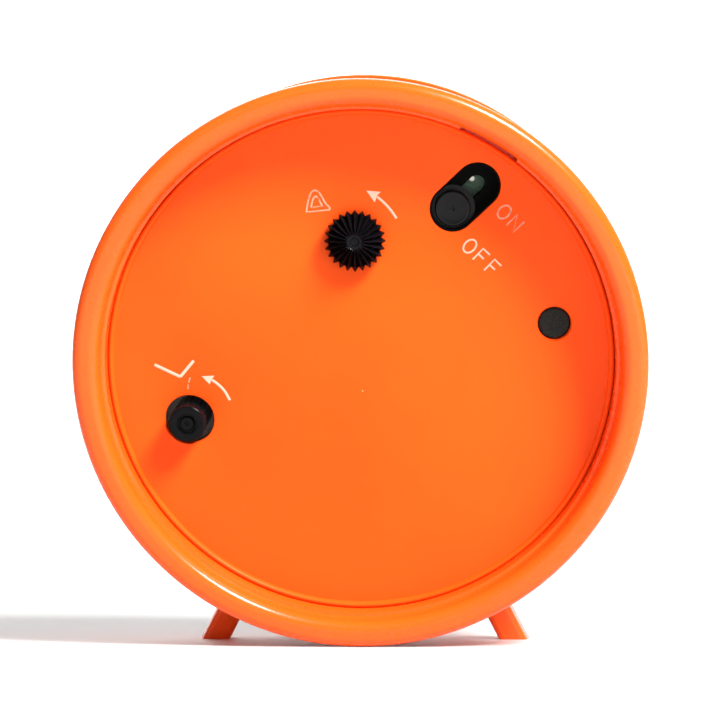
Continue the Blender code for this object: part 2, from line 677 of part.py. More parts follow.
def build_motor(second_y):
    # stepping motor: magnet rotor, flat stator arm and a coil wound on the arm
    drive_wheel_y = second_y + 0.8 * mm
    stack("drive_wheel",
          [prism([gear(drive_teeth, drive_module, drive_phase)], drive_wheel_y, drive_wheel_y + 0.4 * mm),
           prism([gear(drive_pinion_teeth, drive_module, drive_pinion_phase)],
                 second_y, drive_wheel_y + 0.2 * mm),
           rod(arbor_radius, second_y, works_rear - shaft_tip)],
          metal("drive_wheel_brass", brass), drive_at)
    stator_y = second_y - 2.3 * mm
    magnet_radius = 1.5 * mm
    stack("rotor",
          [rod(magnet_radius, stator_y - 0.1 * mm, stator_y + 0.9 * mm),
           prism([gear(pinion_teeth, drive_module, rotor_phase)],
                 second_y + 0.5 * mm, drive_wheel_y + 0.4 * mm),
           rod(arbor_radius, stator_y, works_rear - shaft_tip)],
          metal("rotor_steel", steel), rotor_at)
    along = drive_direction + radians(70)
    arm = 0.25 * case_radius
    arm_half = 1.1 * mm
    head = 3.2 * mm
    head_half = 2.8 * mm
    corners = [(-head, -head_half), (head, -head_half), (head, -arm_half), (arm, -arm_half),
               (arm, arm_half), (head, arm_half), (head, head_half), (-head, head_half)]
    outline = [polar(b, along + pi / 2, polar(a, along, rotor_at)) for a, b in corners]
    stator = prism([outline, circle(magnet_radius + gap, small_steps, rotor_at)],
                   stator_y, stator_y + 0.8 * mm)
    make("stator_arm", stator, metal("stator_steel", steel))
    coil_start = 3.6 * mm
    coil_length = arm - coil_start - 0.6 * mm
    coil = lathe([(1.45 * mm, 0.0), (2.3 * mm, 0.0), (2.3 * mm, coil_length), (1.45 * mm, coil_length)])
    place = polar(coil_start, along, rotor_at)
    make("drive_coil", coil, metal("coil_copper", (0.75, 0.33, 0.15)), place,
         stator_y + 0.4 * mm, turned_along(along))


def turned_along(along):
    # turns a form built along +y to lie in the works' plane, along the stator arm
    return Vector((cos(along), 0, sin(along))).to_track_quat("Y", "Z").to_euler()


# --------------------------------------------------------- switches and circuit
def build_board():
    outline = belt(circle(0.13 * case_radius, 32, slider_mid_at) + circle(0.11 * case_radius, 32, button_at)
                   + circle(0.13 * case_radius, 32, (-0.52 * case_radius, -0.16 * case_radius))
                   + circle(0.09 * case_radius, 32, (-0.18 * case_radius, -0.1 * case_radius))
                   + circle(0.08 * case_radius, 32, (-0.24 * case_radius, 0.2 * case_radius)))
    holes = [bearing(screw_radius, at) for at in board_screws]
    make("circuit_board", prism([outline] + holes, board_front, board_rear),
         plastic("board_green", (0.02, 0.13, 0.06)))
    for number, at in enumerate(board_screws):
        screw("board_screw_%d" % (number + 1), at, board_rear + run_gap, works_rear - plate_thickness)
    top = board_rear + run_gap
    make("controller_chip", prism([rectangle(6 * mm, 4.5 * mm, (-0.36 * case_radius, 0.05 * case_radius))],
                                  top, top + 1.2 * mm), plastic("chip_black", black))
    can = lathe([(0.0, 0.0), (1.0 * mm, 0.0), (1.0 * mm, 5.6 * mm), (0.8 * mm, 6.0 * mm), (0.0, 6.0 * mm)])
    make("quartz_crystal", can, metal("crystal_steel", steel), (-0.36 * case_radius, 0.24 * case_radius),
         top + 1.0 * mm, (0, 0, pi / 2))
    make("sounder_disc", prism([circle(0.11 * case_radius, 40, (-0.51 * case_radius, -0.15 * case_radius))],
                               top, top + 1.5 * mm), metal("sounder_brass", brass))


def build_alarm_switch():
    inner = slider_radius + 1.3 * mm
    housing = prism([slot(inner + 1.0 * mm, slider_travel, slider_direction, slider_mid_at),
                     slot(inner, slider_travel, slider_direction, slider_mid_at)],
                    board_rear + run_gap, cover_inside - 0.5 * mm)
    make("alarm_switch_housing", housing, plastic("switch_black", black))
    top = cover_face - 0.4 * mm
    flange = cover_inside - 1.4 * mm
    dimple = 0.35 * mm
    outline = [(0.0, top - 0.2 * mm), (dimple, top),
               (slider_radius - 0.4 * mm, top), (slider_radius, top - 0.4 * mm),
               (slider_radius, flange), (slider_radius + 1.0 * mm, flange),
               (slider_radius + 1.0 * mm, flange - 1.0 * mm), (1.5 * mm, flange - 1.0 * mm),
               (1.5 * mm, board_rear + 1.0 * mm), (0.0, board_rear + 1.0 * mm)]
    make("alarm_slider", lathe(outline, 24), plastic("slider_black", black), slider_off_at)
    contact = prism([slot(0.9 * mm, 3.0 * mm, slider_direction + pi / 2, (0.0, 0.0), 6)],
                    board_rear + 0.4 * mm, board_rear + 0.8 * mm)
    make("slider_contact", contact, metal("contact_brass", brass), slider_off_at)


def build_button():
    top = cover_face - 0.7 * mm
    flange = cover_inside - 0.4 * mm
    switch_top = board_rear + 3.2 * mm
    outline = [(0.0, top + 0.15 * mm), (0.6 * button_radius, top + 0.1 * mm), (button_radius - 0.3 * mm, top),
               (button_radius, top - 0.3 * mm), (button_radius, flange), (button_radius + 1.0 * mm, flange),
               (button_radius + 1.0 * mm, flange - 0.8 * mm), (1.2 * mm, flange - 0.8 * mm),
               (1.2 * mm, switch_top - 0.8 * mm), (0.0, switch_top - 0.8 * mm)]
    make("press_button", lathe(outline, 24), plastic("button_black", black), button_at)
    body = prism([rectangle(6 * mm, 6 * mm), circle(1.2 * mm + run_gap)], board_rear + run_gap, switch_top)
    make("press_switch_body", body, plastic("press_switch_black", black), button_at)


def build_lamp():
    # small lamp that shines across the dial from its lower edge
    tip = dial_front - 1.6 * mm
    outline = [(0.0, tip - lamp_radius)] + arc((0.0, tip), lamp_radius, -72, 0, 4)
    outline += [(lamp_radius, chassis_rear), (0.0, chassis_rear)]
    make("dial_lamp", lathe(outline), material("lamp_clear", (0.95, 0.93, 0.85), 0.1), lamp_at)


# ---------------------------------------------------------------------- battery
def build_battery():
    floor = 1.2 * mm
    low = works_front
    cell_y = low + floor + tray_clear + cell_radius
    high = cell_y + 0.45 * cell_radius
    tray = make("battery_tray", prism([rectangle(2 * tray_half_width, 2 * tray_half_height)], low, high),
                plastic("tray_white", white_resin), (0, cell_at))
    pocket = prism([rectangle(tray_inner_width, tray_inner_height)], low + floor, high + wall)
    combine(tray, [make("tray_pocket", pocket, None, (0, cell_at))], "DIFFERENCE")

    end = cell_length / 2
    nub = 2.6 * mm
    outline = [(0.0, -end), (cell_radius - 0.4 * mm, -end), (cell_radius, 0.4 * mm - end),
               (cell_radius, end - 0.4 * mm), (cell_radius - 0.4 * mm, end),
               (nub, end), (nub, end + 1.2 * mm),
               (0.0, end + 1.2 * mm)]
    make("battery_cell", lathe(outline, 24), material("cell_wrap", (0.05, 0.05, 0.06), 0.4),
         (0, cell_at), cell_y, (0, 0, -pi / 2))
    strip = 0.5 * mm
    wall_at = tray_inner_width / 2 - tray_clear
    for name, x in (("positive_contact", wall_at - strip / 2), ("negative_contact", strip / 2 - wall_at)):
        blade = prism([rectangle(strip, 0.8 * tray_inner_height, (x, 0.0))],
                      low + floor + tray_clear, high + 1 * mm)
        make(name, blade, metal(name + "_steel", steel), (0, cell_at))


# --------------------------------------------------- how the teeth stand at rest
minute_phase = time_direction
set_idler_phase = meshed_phase(minute_phase, minute_teeth, set_idler_teeth, time_direction)
time_phase = meshed_phase(set_idler_phase, set_idler_teeth, set_knob_teeth, time_direction)
alarm_phase = alarm_direction
alarm_idler_phase = meshed_phase(alarm_phase, alarm_teeth, alarm_idler_teeth, alarm_direction)
alarm_knob_phase = meshed_phase(alarm_idler_phase, alarm_idler_teeth, alarm_knob_teeth, alarm_direction)
cannon_phase = motion_direction
motion_phase = meshed_phase(cannon_phase, cannon_teeth, motion_teeth, motion_direction)
hour_phase = motion_direction
motion_pinion_phase = meshed_phase(hour_phase, hour_teeth, motion_pinion_teeth, motion_direction)
second_pinion_phase = third_direction
third_phase = meshed_phase(second_pinion_phase, pinion_teeth, third_teeth, third_direction)
centre_phase = third_direction
third_pinion_phase = meshed_phase(centre_phase, centre_teeth, pinion_teeth, third_direction)
second_phase = drive_direction
drive_pinion_phase = meshed_phase(second_phase, second_teeth, drive_pinion_teeth, drive_direction)
drive_phase = drive_direction
rotor_phase = meshed_phase(drive_phase, drive_teeth, pinion_teeth, drive_direction)


def build_hands():
    # ten past ten, with the alarm at seven
    dark = (0.02, 0.02, 0.022)
    hand("alarm_hand", alarm_pipe + 1.4 * mm, 0.42 * case_radius, 0.6 * mm, lens_rear + 4.2 * mm,
         alarm_pipe + run_gap, radians(210), plastic("alarm_hand_orange", orange))
    hand("hour_hand", hour_pipe + 1.3 * mm, 0.5 * case_radius, 1.1 * mm, lens_rear + 3.1 * mm,
         hour_pipe + run_gap, radians(305), plastic("hour_hand_dark", dark))
    hand("minute_hand", minute_pipe + 1.3 * mm, 0.72 * case_radius, 0.8 * mm, lens_rear + 2.0 * mm,
         minute_pipe + run_gap, radians(60), plastic("minute_hand_dark", dark))
    hand("second_hand", arbor_radius + 1.0 * mm, 0.76 * case_radius, 0.35 * mm, lens_rear + 0.9 * mm,
         arbor_radius + run_gap / 2, radians(150), plastic("second_hand_orange", orange), 0.2 * case_radius)


build_case()
build_legs()
build_back_cover()
build_front()
build_frame()
minute_level, alarm_level, second_level = build_centre_train()
build_setting_shafts(minute_level, alarm_level)
build_crown()
build_motor(second_level)
build_hands()
build_board()
build_alarm_switch()
build_button()
build_lamp()
build_battery()
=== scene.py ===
import json
from math import asin, atan2, cos, degrees, pi, radians, sin, tau

import bmesh
import bpy
from mathutils import Matrix, Vector

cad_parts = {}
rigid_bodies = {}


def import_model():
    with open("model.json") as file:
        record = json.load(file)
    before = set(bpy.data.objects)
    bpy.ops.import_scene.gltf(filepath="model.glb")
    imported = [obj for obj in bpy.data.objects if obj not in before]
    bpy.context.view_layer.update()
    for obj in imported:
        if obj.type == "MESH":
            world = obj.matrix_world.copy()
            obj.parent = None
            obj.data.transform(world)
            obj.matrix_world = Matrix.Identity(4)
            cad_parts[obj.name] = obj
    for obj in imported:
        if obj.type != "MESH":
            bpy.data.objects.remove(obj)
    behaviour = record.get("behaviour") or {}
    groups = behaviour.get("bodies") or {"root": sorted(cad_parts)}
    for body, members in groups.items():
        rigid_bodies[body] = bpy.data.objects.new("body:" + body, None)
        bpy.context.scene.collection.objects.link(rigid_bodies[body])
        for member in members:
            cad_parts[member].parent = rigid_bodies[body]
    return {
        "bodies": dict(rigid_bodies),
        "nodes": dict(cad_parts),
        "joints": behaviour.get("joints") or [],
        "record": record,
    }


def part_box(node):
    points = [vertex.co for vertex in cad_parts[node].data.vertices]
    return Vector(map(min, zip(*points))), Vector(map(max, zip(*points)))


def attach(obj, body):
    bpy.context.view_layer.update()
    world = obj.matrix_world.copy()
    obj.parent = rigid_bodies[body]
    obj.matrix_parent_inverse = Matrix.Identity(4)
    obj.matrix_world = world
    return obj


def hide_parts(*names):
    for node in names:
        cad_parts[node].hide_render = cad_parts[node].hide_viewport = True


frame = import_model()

# Orange alarm clock, seen from behind: fine shells, knobs, prints and finishes over the working frame
mm = 0.001
shownByFrame = set(frame["nodes"].values()) | set(frame["bodies"].values())
for spare in [o for o in bpy.data.objects if o not in shownByFrame]:
    bpy.data.objects.remove(spare)
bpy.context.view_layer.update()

# The clock's own axes: x across, y along its axis towards the back, z up the dial
joints = {joint["name"]: joint for joint in frame["joints"]}
backAxis = Vector(joints["second_hand_turn"]["axis"]).normalized()
leanBack = atan2(-backAxis.z, backAxis.y)
leanTurn = Matrix.Rotation(-leanBack, 3, "X")
shellPoints = [leanTurn.inverted() @ v.co for v in frame["nodes"]["case_shell"].data.vertices]
caseRadius = max(p.x for p in shellPoints)
rimFace = max(p.y for p in shellPoints)
dialMiddle = (max(p.z for p in shellPoints) + min(p.z for p in shellPoints)) / 2
rimCentre = leanTurn @ Vector((0, rimFace, dialMiddle))
clockPlace = Matrix.Translation(rimCentre) @ leanTurn.to_4x4()


def boxInClock(node):
    # lowest and highest corners of a frame node in the clock's own axes
    points = [clockPlace.inverted() @ v.co for v in frame["nodes"][node].data.vertices]
    low = Vector([min(p[i] for p in points) for i in range(3)])
    high = Vector([max(p[i] for p in points) for i in range(3)])
    return low, high


def jointSpot(name):
    # where a joint's axis crosses the rim plane, as (x, z)
    spot = clockPlace.inverted() @ Vector(joints[name]["pos_m"])
    return spot.x, spot.z


crownAt = jointSpot("alarm_crown_turn")
timeAt = jointSpot("time_set_turn")
coverLow, coverHigh = boxInClock("back_cover")
sliderLow, sliderHigh = boxInClock("alarm_slider")
buttonLow, buttonHigh = boxInClock("press_button")
crownLow, crownHigh = boxInClock("alarm_set_crown")
knobLow, knobHigh = boxInClock("time_set_knob")
shellLow = boxInClock("case_shell")[0]
bezelLow = boxInClock("front_bezel")[0]
lensHigh = boxInClock("lens")[1]
dialLow, dialHigh = boxInClock("dial")
sliderAt = ((sliderLow.x + sliderHigh.x) / 2, (sliderLow.z + sliderHigh.z) / 2)
buttonAt = ((buttonLow.x + buttonHigh.x) / 2, (buttonLow.z + buttonHigh.z) / 2)
slideWay = clockPlace.to_3x3().inverted() @ Vector(joints["alarm_switch_slide"]["axis"])
slideAngle = atan2(slideWay.z, slideWay.x)
slideTravel = joints["alarm_switch_slide"]["range_m"][1]

print("clock frame ready, radius %.1f mm" % (caseRadius / mm))


# Sockets as plain expressions
class Wire:
    def __init__(self, finish, socket):
        self.finish = finish
        self.socket = socket

    def __add__(self, other):
        return self.finish.maths("ADD", self, other)

    def __radd__(self, other):
        return self.finish.maths("ADD", other, self)

    def __sub__(self, other):
        return self.finish.maths("SUBTRACT", self, other)

    def __rsub__(self, other):
        return self.finish.maths("SUBTRACT", other, self)

    def __mul__(self, other):
        return self.finish.maths("MULTIPLY", self, other)


class Finish:
    def __init__(self, name, roughness=0.4, metallic=0.0, **uniform):
        self.material = bpy.data.materials.new(name)
        self.material.use_nodes = True
        self.tree = self.material.node_tree
        self.shader = self.tree.nodes["Principled BSDF"]
        self.shader.inputs["Roughness"].default_value = roughness
        self.shader.inputs["Metallic"].default_value = metallic
        for words, value in uniform.items():
            self.shader.inputs[words.replace("_", " ")].default_value = value
        self.spot = self.node("ShaderNodeTexCoord", {}, {}, "Object")

    def node(self, kind, settings, sockets, output=0):
        made = self.tree.nodes.new(kind)
        for word, value in settings.items():
            setattr(made, word, value)
        for key, value in sockets.items():
            if isinstance(value, Wire):
                self.tree.links.new(value.socket, made.inputs[key])
            else:
                made.inputs[key].default_value = value
        return Wire(self, made.outputs[output])

    def maths(self, operation, first, second):
        return self.node("ShaderNodeMath", {"operation": operation}, {0: first, 1: second})

    def noise(self, size, detail=3.0, roughness=0.55, stretch=(1, 1, 1), warp=0.0):
        # cloudy values whose features are about size across
        spot = self.spot
        if stretch != (1, 1, 1):
            spot = self.node("ShaderNodeMapping", {}, {"Vector": spot, "Scale": stretch})
        return self.node("ShaderNodeTexNoise", {}, {"Vector": spot, "Scale": 1 / size, "Detail": detail,
                                                    "Roughness": roughness, "Distortion": warp})

    def step(self, value, low, high):
        # eases from 0 at low to 1 at high
        return self.node("ShaderNodeMapRange", {"interpolation_type": "SMOOTHSTEP"},
                         {"Value": value, "From Min": low, "From Max": high})

    def specks(self, spacing, size, share):
        # small round dots, in only some of the cells
        cells = self.node("ShaderNodeTexVoronoi", {}, {"Vector": self.spot, "Scale": 1 / spacing})
        picked = self.node("ShaderNodeTexVoronoi", {}, {"Vector": self.spot, "Scale": 1 / spacing}, "Color")
        chance = self.node("ShaderNodeSeparateColor", {}, {"Color": picked})
        near = self.step(cells, size / spacing, 0.6 * size / spacing)
        return near * self.step(chance, 1 - share, 1.001 - share)

    def mix(self, factor, first, second):
        colours = [value if isinstance(value, Wire) else (*value, 1.0) for value in (first, second)]
        return self.node("ShaderNodeMix", {"data_type": "RGBA"},
                         {0: factor, 6: colours[0], 7: colours[1]}, 2)

    def feed(self, **links):
        for word, value in links.items():
            self.tree.links.new(value.socket, self.shader.inputs[word.replace("_", " ")])

    def bump(self, height, depth):
        self.feed(Normal=self.node("ShaderNodeBump", {}, {"Strength": 1.0, "Distance": depth, "Height": height}))


def between(low, high, share):
    return tuple(a + (b - a) * share for a, b in zip(low, high))


def shade(colour, share):
    return tuple(channel * share for channel in colour)


# Orange plastic: glossy on the shell, satin on the back cover
orange = {"glossy": (0.95, 0.092, 0.006), "satin": (0.95, 0.078, 0.004), "dust": (1.0, 0.55, 0.36)}


def orangePlastic(name, colour, roughness, coat, sheen, orangePeel):
    look = Finish(name, roughness, Coat_Roughness=0.12, IOR=1.5, Specular_IOR_Level=sheen)
    look.shader.inputs["Coat Weight"].default_value = coat
    cloud = look.noise(24 * mm, 3.0)
    grain = look.noise(0.5 * mm, 2.0)
    handling = look.noise(6 * mm, 5.0, 0.7, (1, 1, 1), 1.5)
    scratch = look.noise(2.2 * mm, 4.0, 0.6, (1, 14, 1), 0.4)
    dust = look.specks(7 * mm, 0.22 * mm, 0.16)
    colourDrift = look.mix(cloud, shade(colour, 0.96), between(colour, (1.0, 0.18, 0.01), 0.2))
    rubbed = look.step(scratch, 0.66, 0.74) * look.step(handling, 0.5, 0.62)
    colourWorn = look.mix(rubbed * 0.05, colourDrift, orange["dust"])
    look.feed(Base_Color=look.mix(dust * 0.75, colourWorn, orange["dust"]),
              Roughness=roughness + handling * 0.1 - 0.05 + rubbed * 0.12 + dust * 0.3)
    look.bump(grain + dust * 1.5 - rubbed * 0.5, orangePeel)
    return look.material


# Black plastics: polished crown, satin knobs, soft rubber button
def blackPlastic(name, tone, roughness, grainSize, depth, sheen, coat=0.0):
    look = Finish(name, roughness, IOR=1.5, Coat_Roughness=0.1, Specular_IOR_Level=sheen)
    look.shader.inputs["Coat Weight"].default_value = coat
    grain = look.noise(grainSize, 4.0, 0.6)
    smudge = look.noise(3 * mm, 4.0, 0.65, (1, 1, 1), 1.0)
    dust = look.specks(1.9 * mm, 0.1 * mm, 0.2)
    dark = look.mix(smudge, shade(tone, 0.8), shade(tone, 1.5))
    look.feed(Base_Color=look.mix(dust * 0.12, dark, (0.2, 0.2, 0.19)),
              Roughness=roughness + smudge * 0.16 - 0.08)
    look.bump(grain, depth)
    return look.material


def softRubber():
    look = Finish("softRubber", 0.62, IOR=1.45, Sheen_Weight=0.15, Sheen_Roughness=0.5,
                  Specular_IOR_Level=0.2)
    speckle = look.noise(0.32 * mm, 5.0, 0.75)
    worn = look.noise(1.6 * mm, 3.0)
    flecked = look.mix(look.step(speckle, 0.42, 0.62), (0.004, 0.005, 0.004), (0.016, 0.019, 0.016))
    look.feed(Base_Color=flecked, Roughness=0.54 + worn * 0.2)
    look.bump(speckle, 0.06 * mm)
    return look.material


def printedInk(name, tone, wear):
    # screen print that has rubbed thin in places
    look = Finish(name, 0.5, IOR=1.45)
    blotch = look.noise(0.9 * mm, 4.0, 0.7)
    pinhole = look.noise(0.22 * mm, 3.0, 0.7)
    kept = 1 - look.step(blotch * 0.6 + pinhole * 0.4, 0.72 - wear, 0.82 - wear)
    look.feed(Base_Color=look.mix(blotch, tone, between(tone, (1.0, 0.5, 0.3), 0.3)),
              Alpha=kept, Roughness=0.45 + pinhole * 0.2)
    look.bump(pinhole, 0.03 * mm)
    return look.material


# Pale and coloured resins of the movement, moulded with a faint grain
def mouldedResin(name, tone, roughness):
    look = Finish(name, roughness, IOR=1.5)
    flow = look.noise(5 * mm, 4.0, 0.6, (1, 1, 1), 2.0)
    grain = look.noise(0.25 * mm, 3.0)
    grease = look.step(look.noise(3.5 * mm, 3.0), 0.56, 0.68)
    look.feed(Base_Color=look.mix(flow, shade(tone, 0.9), between(tone, (1, 1, 1), 0.15)),
              Roughness=roughness - grease * 0.16 + grain * 0.08)
    look.bump(grain, 0.02 * mm)
    return look.material


def metalFinish(name, tone, roughness, stretch):
    # drawn or stamped metal with fine lines, tarnish in the hollows of the noise
    look = Finish(name, roughness, 1.0)
    lines = look.noise(0.5 * mm, 5.0, 0.7, stretch)
    tarnish = look.noise(2.5 * mm, 4.0, 0.6)
    look.feed(Base_Color=look.mix(look.step(tarnish, 0.4, 0.7), tone, shade(tone, 0.72)),
              Roughness=roughness + lines * 0.2 + tarnish * 0.1 - 0.12)
    look.bump(lines, 0.02 * mm)
    return look.material


def copperCoil():
    # enamelled wire laid in close turns
    look = Finish("copperCoil", 0.25, 1.0)
    along = Vector(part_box("drive_coil")[1]) - Vector(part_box("drive_coil")[0])
    turns = look.node("ShaderNodeTexWave", {"wave_type": "BANDS", "bands_direction": "Z"},
                      {"Vector": look.spot, "Scale": 0.5 / (0.35 * mm), "Distortion": 0.4, "Detail": 1.0})
    tone = look.mix(turns, (0.32, 0.09, 0.03), (0.86, 0.36, 0.16))
    look.feed(Base_Color=tone, Roughness=0.22 + look.noise(along.length / 8, 2.0) * 0.2)
    look.bump(turns, 0.1 * mm)
    return look.material


def boardLaminate():
    # green lacquer over copper tracks
    look = Finish("boardLaminate", 0.3, IOR=1.5)
    weave = look.noise(0.6 * mm, 2.0)
    laid = look.node("ShaderNodeMapping", {}, {"Vector": look.spot, "Rotation": (pi / 2 + leanBack, 0, 0.4)})
    tracks = look.node("ShaderNodeTexBrick", {"offset": 0.5, "squash": 1.0},
                       {"Vector": laid, "Scale": 1 / (9 * mm), "Mortar Size": 0.035, "Brick Width": 0.62,
                        "Row Height": 0.3}, "Fac")
    pads = look.specks(3.1 * mm, 0.7 * mm, 0.3)
    green = look.mix(weave, (0.008, 0.09, 0.03), (0.015, 0.13, 0.05))
    tracked = look.mix(tracks * 0.6, green, (0.05, 0.24, 0.08))
    look.feed(Base_Color=look.mix(pads, tracked, (0.6, 0.58, 0.52)), Metallic=pads * 0.9,
              Roughness=0.3 + weave * 0.15)
    look.bump(tracks + pads, 0.05 * mm)
    return look.material


def cellSleeve():
    # shrink sleeve of the cell: dark with one copper-coloured band and a bare steel end
    look = Finish("cellSleeve", 0.28, IOR=1.5)
    low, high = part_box("battery_cell")
    across = look.node("ShaderNodeSeparateXYZ", {}, {"Vector": look.spot})
    share = (across - low.x) * (1 / (high.x - low.x))
    band = look.step(share, 0.70, 0.702) * look.step(share, 0.974, 0.972)
    ends = look.step(share, 0.974, 0.976) + look.step(share, 0.012, 0.010)
    scuff = look.noise(0.8 * mm, 4.0, 0.7, (0.2, 1, 1))
    tone = look.mix(band, (0.016, 0.017, 0.02), (0.62, 0.27, 0.09))
    look.feed(Base_Color=look.mix(ends, tone, (0.66, 0.66, 0.68)), Metallic=ends,
              Roughness=0.2 + scuff * 0.2)
    look.bump(scuff, 0.015 * mm)
    return look.material


def clearLens():
    look = Finish("clearLens", 0.03, IOR=1.49, Transmission_Weight=1.0)
    haze = look.noise(9 * mm, 4.0, 0.6, (1, 1, 1), 1.0)
    hairlines = look.step(look.noise(0.9 * mm, 3.0, 0.5, (1, 1, 12)), 0.68, 0.74)
    look.feed(Roughness=0.015 + haze * 0.03 + hairlines * 0.06)
    look.bump(hairlines + haze, 0.004 * mm)
    return look.material


def lampResin():
    look = Finish("lampResin", 0.12, IOR=1.5, Transmission_Weight=0.6)
    flow = look.noise(0.7 * mm, 3.0)
    look.feed(Base_Color=look.mix(flow, (0.95, 0.93, 0.84), (1.0, 0.98, 0.93)), Roughness=0.08 + flow * 0.1)
    return look.material


def dialFace():
    # warm white lacquered card
    look = Finish("dialFace", 0.5, IOR=1.45)
    fibre = look.noise(0.35 * mm, 5.0, 0.7)
    cloud = look.noise(20 * mm, 3.0)
    look.feed(Base_Color=look.mix(cloud * 0.7 + fibre * 0.3, (0.80, 0.77, 0.69), (0.87, 0.85, 0.78)),
              Roughness=0.42 + fibre * 0.16)
    look.bump(fibre, 0.015 * mm)
    return look.material


def paintedHand(name, tone):
    look = Finish(name, 0.34, IOR=1.5)
    grain = look.noise(0.3 * mm, 4.0, 0.6)
    sweep = look.noise(4 * mm, 3.0)
    look.feed(Base_Color=look.mix(sweep, shade(tone, 0.85), between(tone, (1, 1, 1), 0.03)),
              Roughness=0.28 + grain * 0.16)
    look.bump(grain, 0.012 * mm)
    return look.material


shellOrange = orangePlastic("shellOrange", orange["glossy"], 0.27, 0.25, 0.2, 0.012 * mm)
coverOrange = orangePlastic("coverOrange", orange["satin"], 0.38, 0.03, 0.1, 0.018 * mm)
crownBlack = blackPlastic("crownBlack", (0.003, 0.003, 0.004), 0.17, 0.5 * mm, 0.01 * mm, 0.08, 0.04)
knobBlack = blackPlastic("knobBlack", (0.003, 0.003, 0.0035), 0.22, 0.22 * mm, 0.012 * mm, 0.07)
# slider black is a little lighter than the slot's black: painted light, standing in for the lit slider face
# against the shaded slot
sliderPaintedLitBlack = blackPlastic("sliderPaintedLitBlack", (0.004, 0.004, 0.005), 0.24, 0.22 * mm, 0.012 * mm, 0.14)
switchBlack = blackPlastic("switchBlack", (0.003, 0.003, 0.003), 0.4, 0.2 * mm, 0.02 * mm, 0.02)
inkCrisp = printedInk("inkCrisp", (0.74, 0.44, 0.34), 0.06)
inkWorn = printedInk("inkWorn", (0.70, 0.29, 0.18), 0.2)
dialInk = printedInk("dialInk", (0.016, 0.016, 0.018), -0.12)

finishes = {
    "case_plastic": shellOrange, "black_plastic": switchBlack, "soft_black": softRubber(),
    "clear_lens": clearLens(), "dial_plastic": dialFace(), "lamp_resin": lampResin(),
    "white_resin": mouldedResin("whiteResin", (0.80, 0.79, 0.76), 0.42),
    "red_resin": mouldedResin("redResin", (0.55, 0.035, 0.02), 0.35),
    "dark_hand": paintedHand("darkHand", (0.018, 0.018, 0.02)),
    "orange_hand": paintedHand("orangeHand", (0.95, 0.15, 0.012)),
    "board_laminate": boardLaminate(), "cell_sleeve": cellSleeve(), "copper_wire": copperCoil(),
    "steel": metalFinish("plainSteel", (0.62, 0.62, 0.64), 0.3, (1, 6, 1)),
    "brass": metalFinish("gearBrass", (0.76, 0.53, 0.22), 0.28, (1, 1, 5)),
}
slotOf = {part["node"]: part["material_slot"] for part in frame["record"]["subparts"]}
for name, node in frame["nodes"].items():
    node.data.materials.clear()
    node.data.materials.append(finishes[slotOf[name]])
print("finishes ready: %d" % len(finishes))


# Outlines in the dial plane as (x, z) and turned outlines as (radius, y)
def polar(distance, angle, centre=(0.0, 0.0)):
    return (centre[0] + distance * cos(angle), centre[1] + distance * sin(angle))


def arc(centre, radius, start, end, steps):
    sweep = radians(end - start) / steps
    return [polar(radius, radians(start) + sweep * i, centre) for i in range(steps + 1)]


def circle(radius, centre, steps=48):
    return [polar(radius, tau * i / steps, centre) for i in range(steps)]


def slot(radius, length, angle, centre, steps=24):
    turn = degrees(angle)
    far = polar(length / 2, angle, centre)
    near = polar(-length / 2, angle, centre)
    return arc(far, radius, turn - 90, turn + 90, steps) + arc(near, radius, turn + 90, turn + 270, steps)


def addLoop(form, points, y):
    verts = [form.verts.new((x, y, z)) for x, z in points]
    return [form.edges.new(pair) for pair in zip(verts, verts[1:] + verts[:1])]


def sleeve(loops):
    # joins matching loops, given as (points, y), corner to corner, and the last one back to the first
    form = bmesh.new()
    rings = [[form.verts.new((x, y, z)) for x, z in points] for points, y in loops]
    for low, high in zip(rings, rings[1:] + rings[:1]):
        for i, corner in enumerate(low):
            after = (i + 1) % len(low)
            form.faces.new((corner, low[after], high[after], high[i]))
    return form

def skin(loops):
    # bridges a stack of matching loops, given as (points, y), and fills its ends
    form = bmesh.new()
    rings = [addLoop(form, points, y) for points, y in loops]
    for low, high in zip(rings, rings[1:]):
        bmesh.ops.bridge_loops(form, edges=low + high)
    for ring in (rings[0], rings[-1]):
        bmesh.ops.contextual_create(form, geom=ring)
    return form


def turned(outline, steps=64, closed=True):
    # spins an outline of (radius, y) about the clock's axis
    form = bmesh.new()
    verts = [form.verts.new((radius, y, 0)) for radius, y in outline]
    edges = [form.edges.new(pair) for pair in zip(verts, verts[1:])]
    if closed and outline[0][0] > 0:
        edges.append(form.edges.new((verts[-1], verts[0])))
    bmesh.ops.spin(form, geom=verts + edges, axis=(0, 1, 0), cent=(0, 0, 0), angle=tau, steps=steps,
                   use_merge=True, use_duplicate=False)
    bmesh.ops.remove_doubles(form, verts=form.verts, dist=1e-7)
    return form


def prism(loops, low, high):
    # flat plate with holes, between two heights
    form = bmesh.new()
    edges = []
    for points in loops:
        edges += addLoop(form, points, low)
    bmesh.ops.triangle_fill(form, use_beauty=True, edges=edges)
    raised = bmesh.ops.extrude_face_region(form, geom=form.faces[:])
    top = [item for item in raised["geom"] if isinstance(item, bmesh.types.BMVert)]
    bmesh.ops.translate(form, verts=top, vec=(0, high - low, 0))
    return form


def merge(forms):
    # puts several closed forms into one mesh
    whole = bmesh.new()
    for form in forms:
        part = bpy.data.meshes.new("part")
        form.to_mesh(part)
        form.free()
        whole.from_mesh(part)
        bpy.data.meshes.remove(part)
    return whole


def shift(form, at=(0.0, 0.0), y=0.0, turn=0.0):
    # turns a form about the clock's axis direction, then puts it at (x, z)
    bmesh.ops.rotate(form, verts=form.verts, cent=(0, 0, 0), matrix=Matrix.Rotation(turn, 3, "Y"))
    bmesh.ops.translate(form, verts=form.verts, vec=(at[0], y, at[1]))
    return form


smoothBelow = 28  # degrees: edges flatter than this are shaded smooth

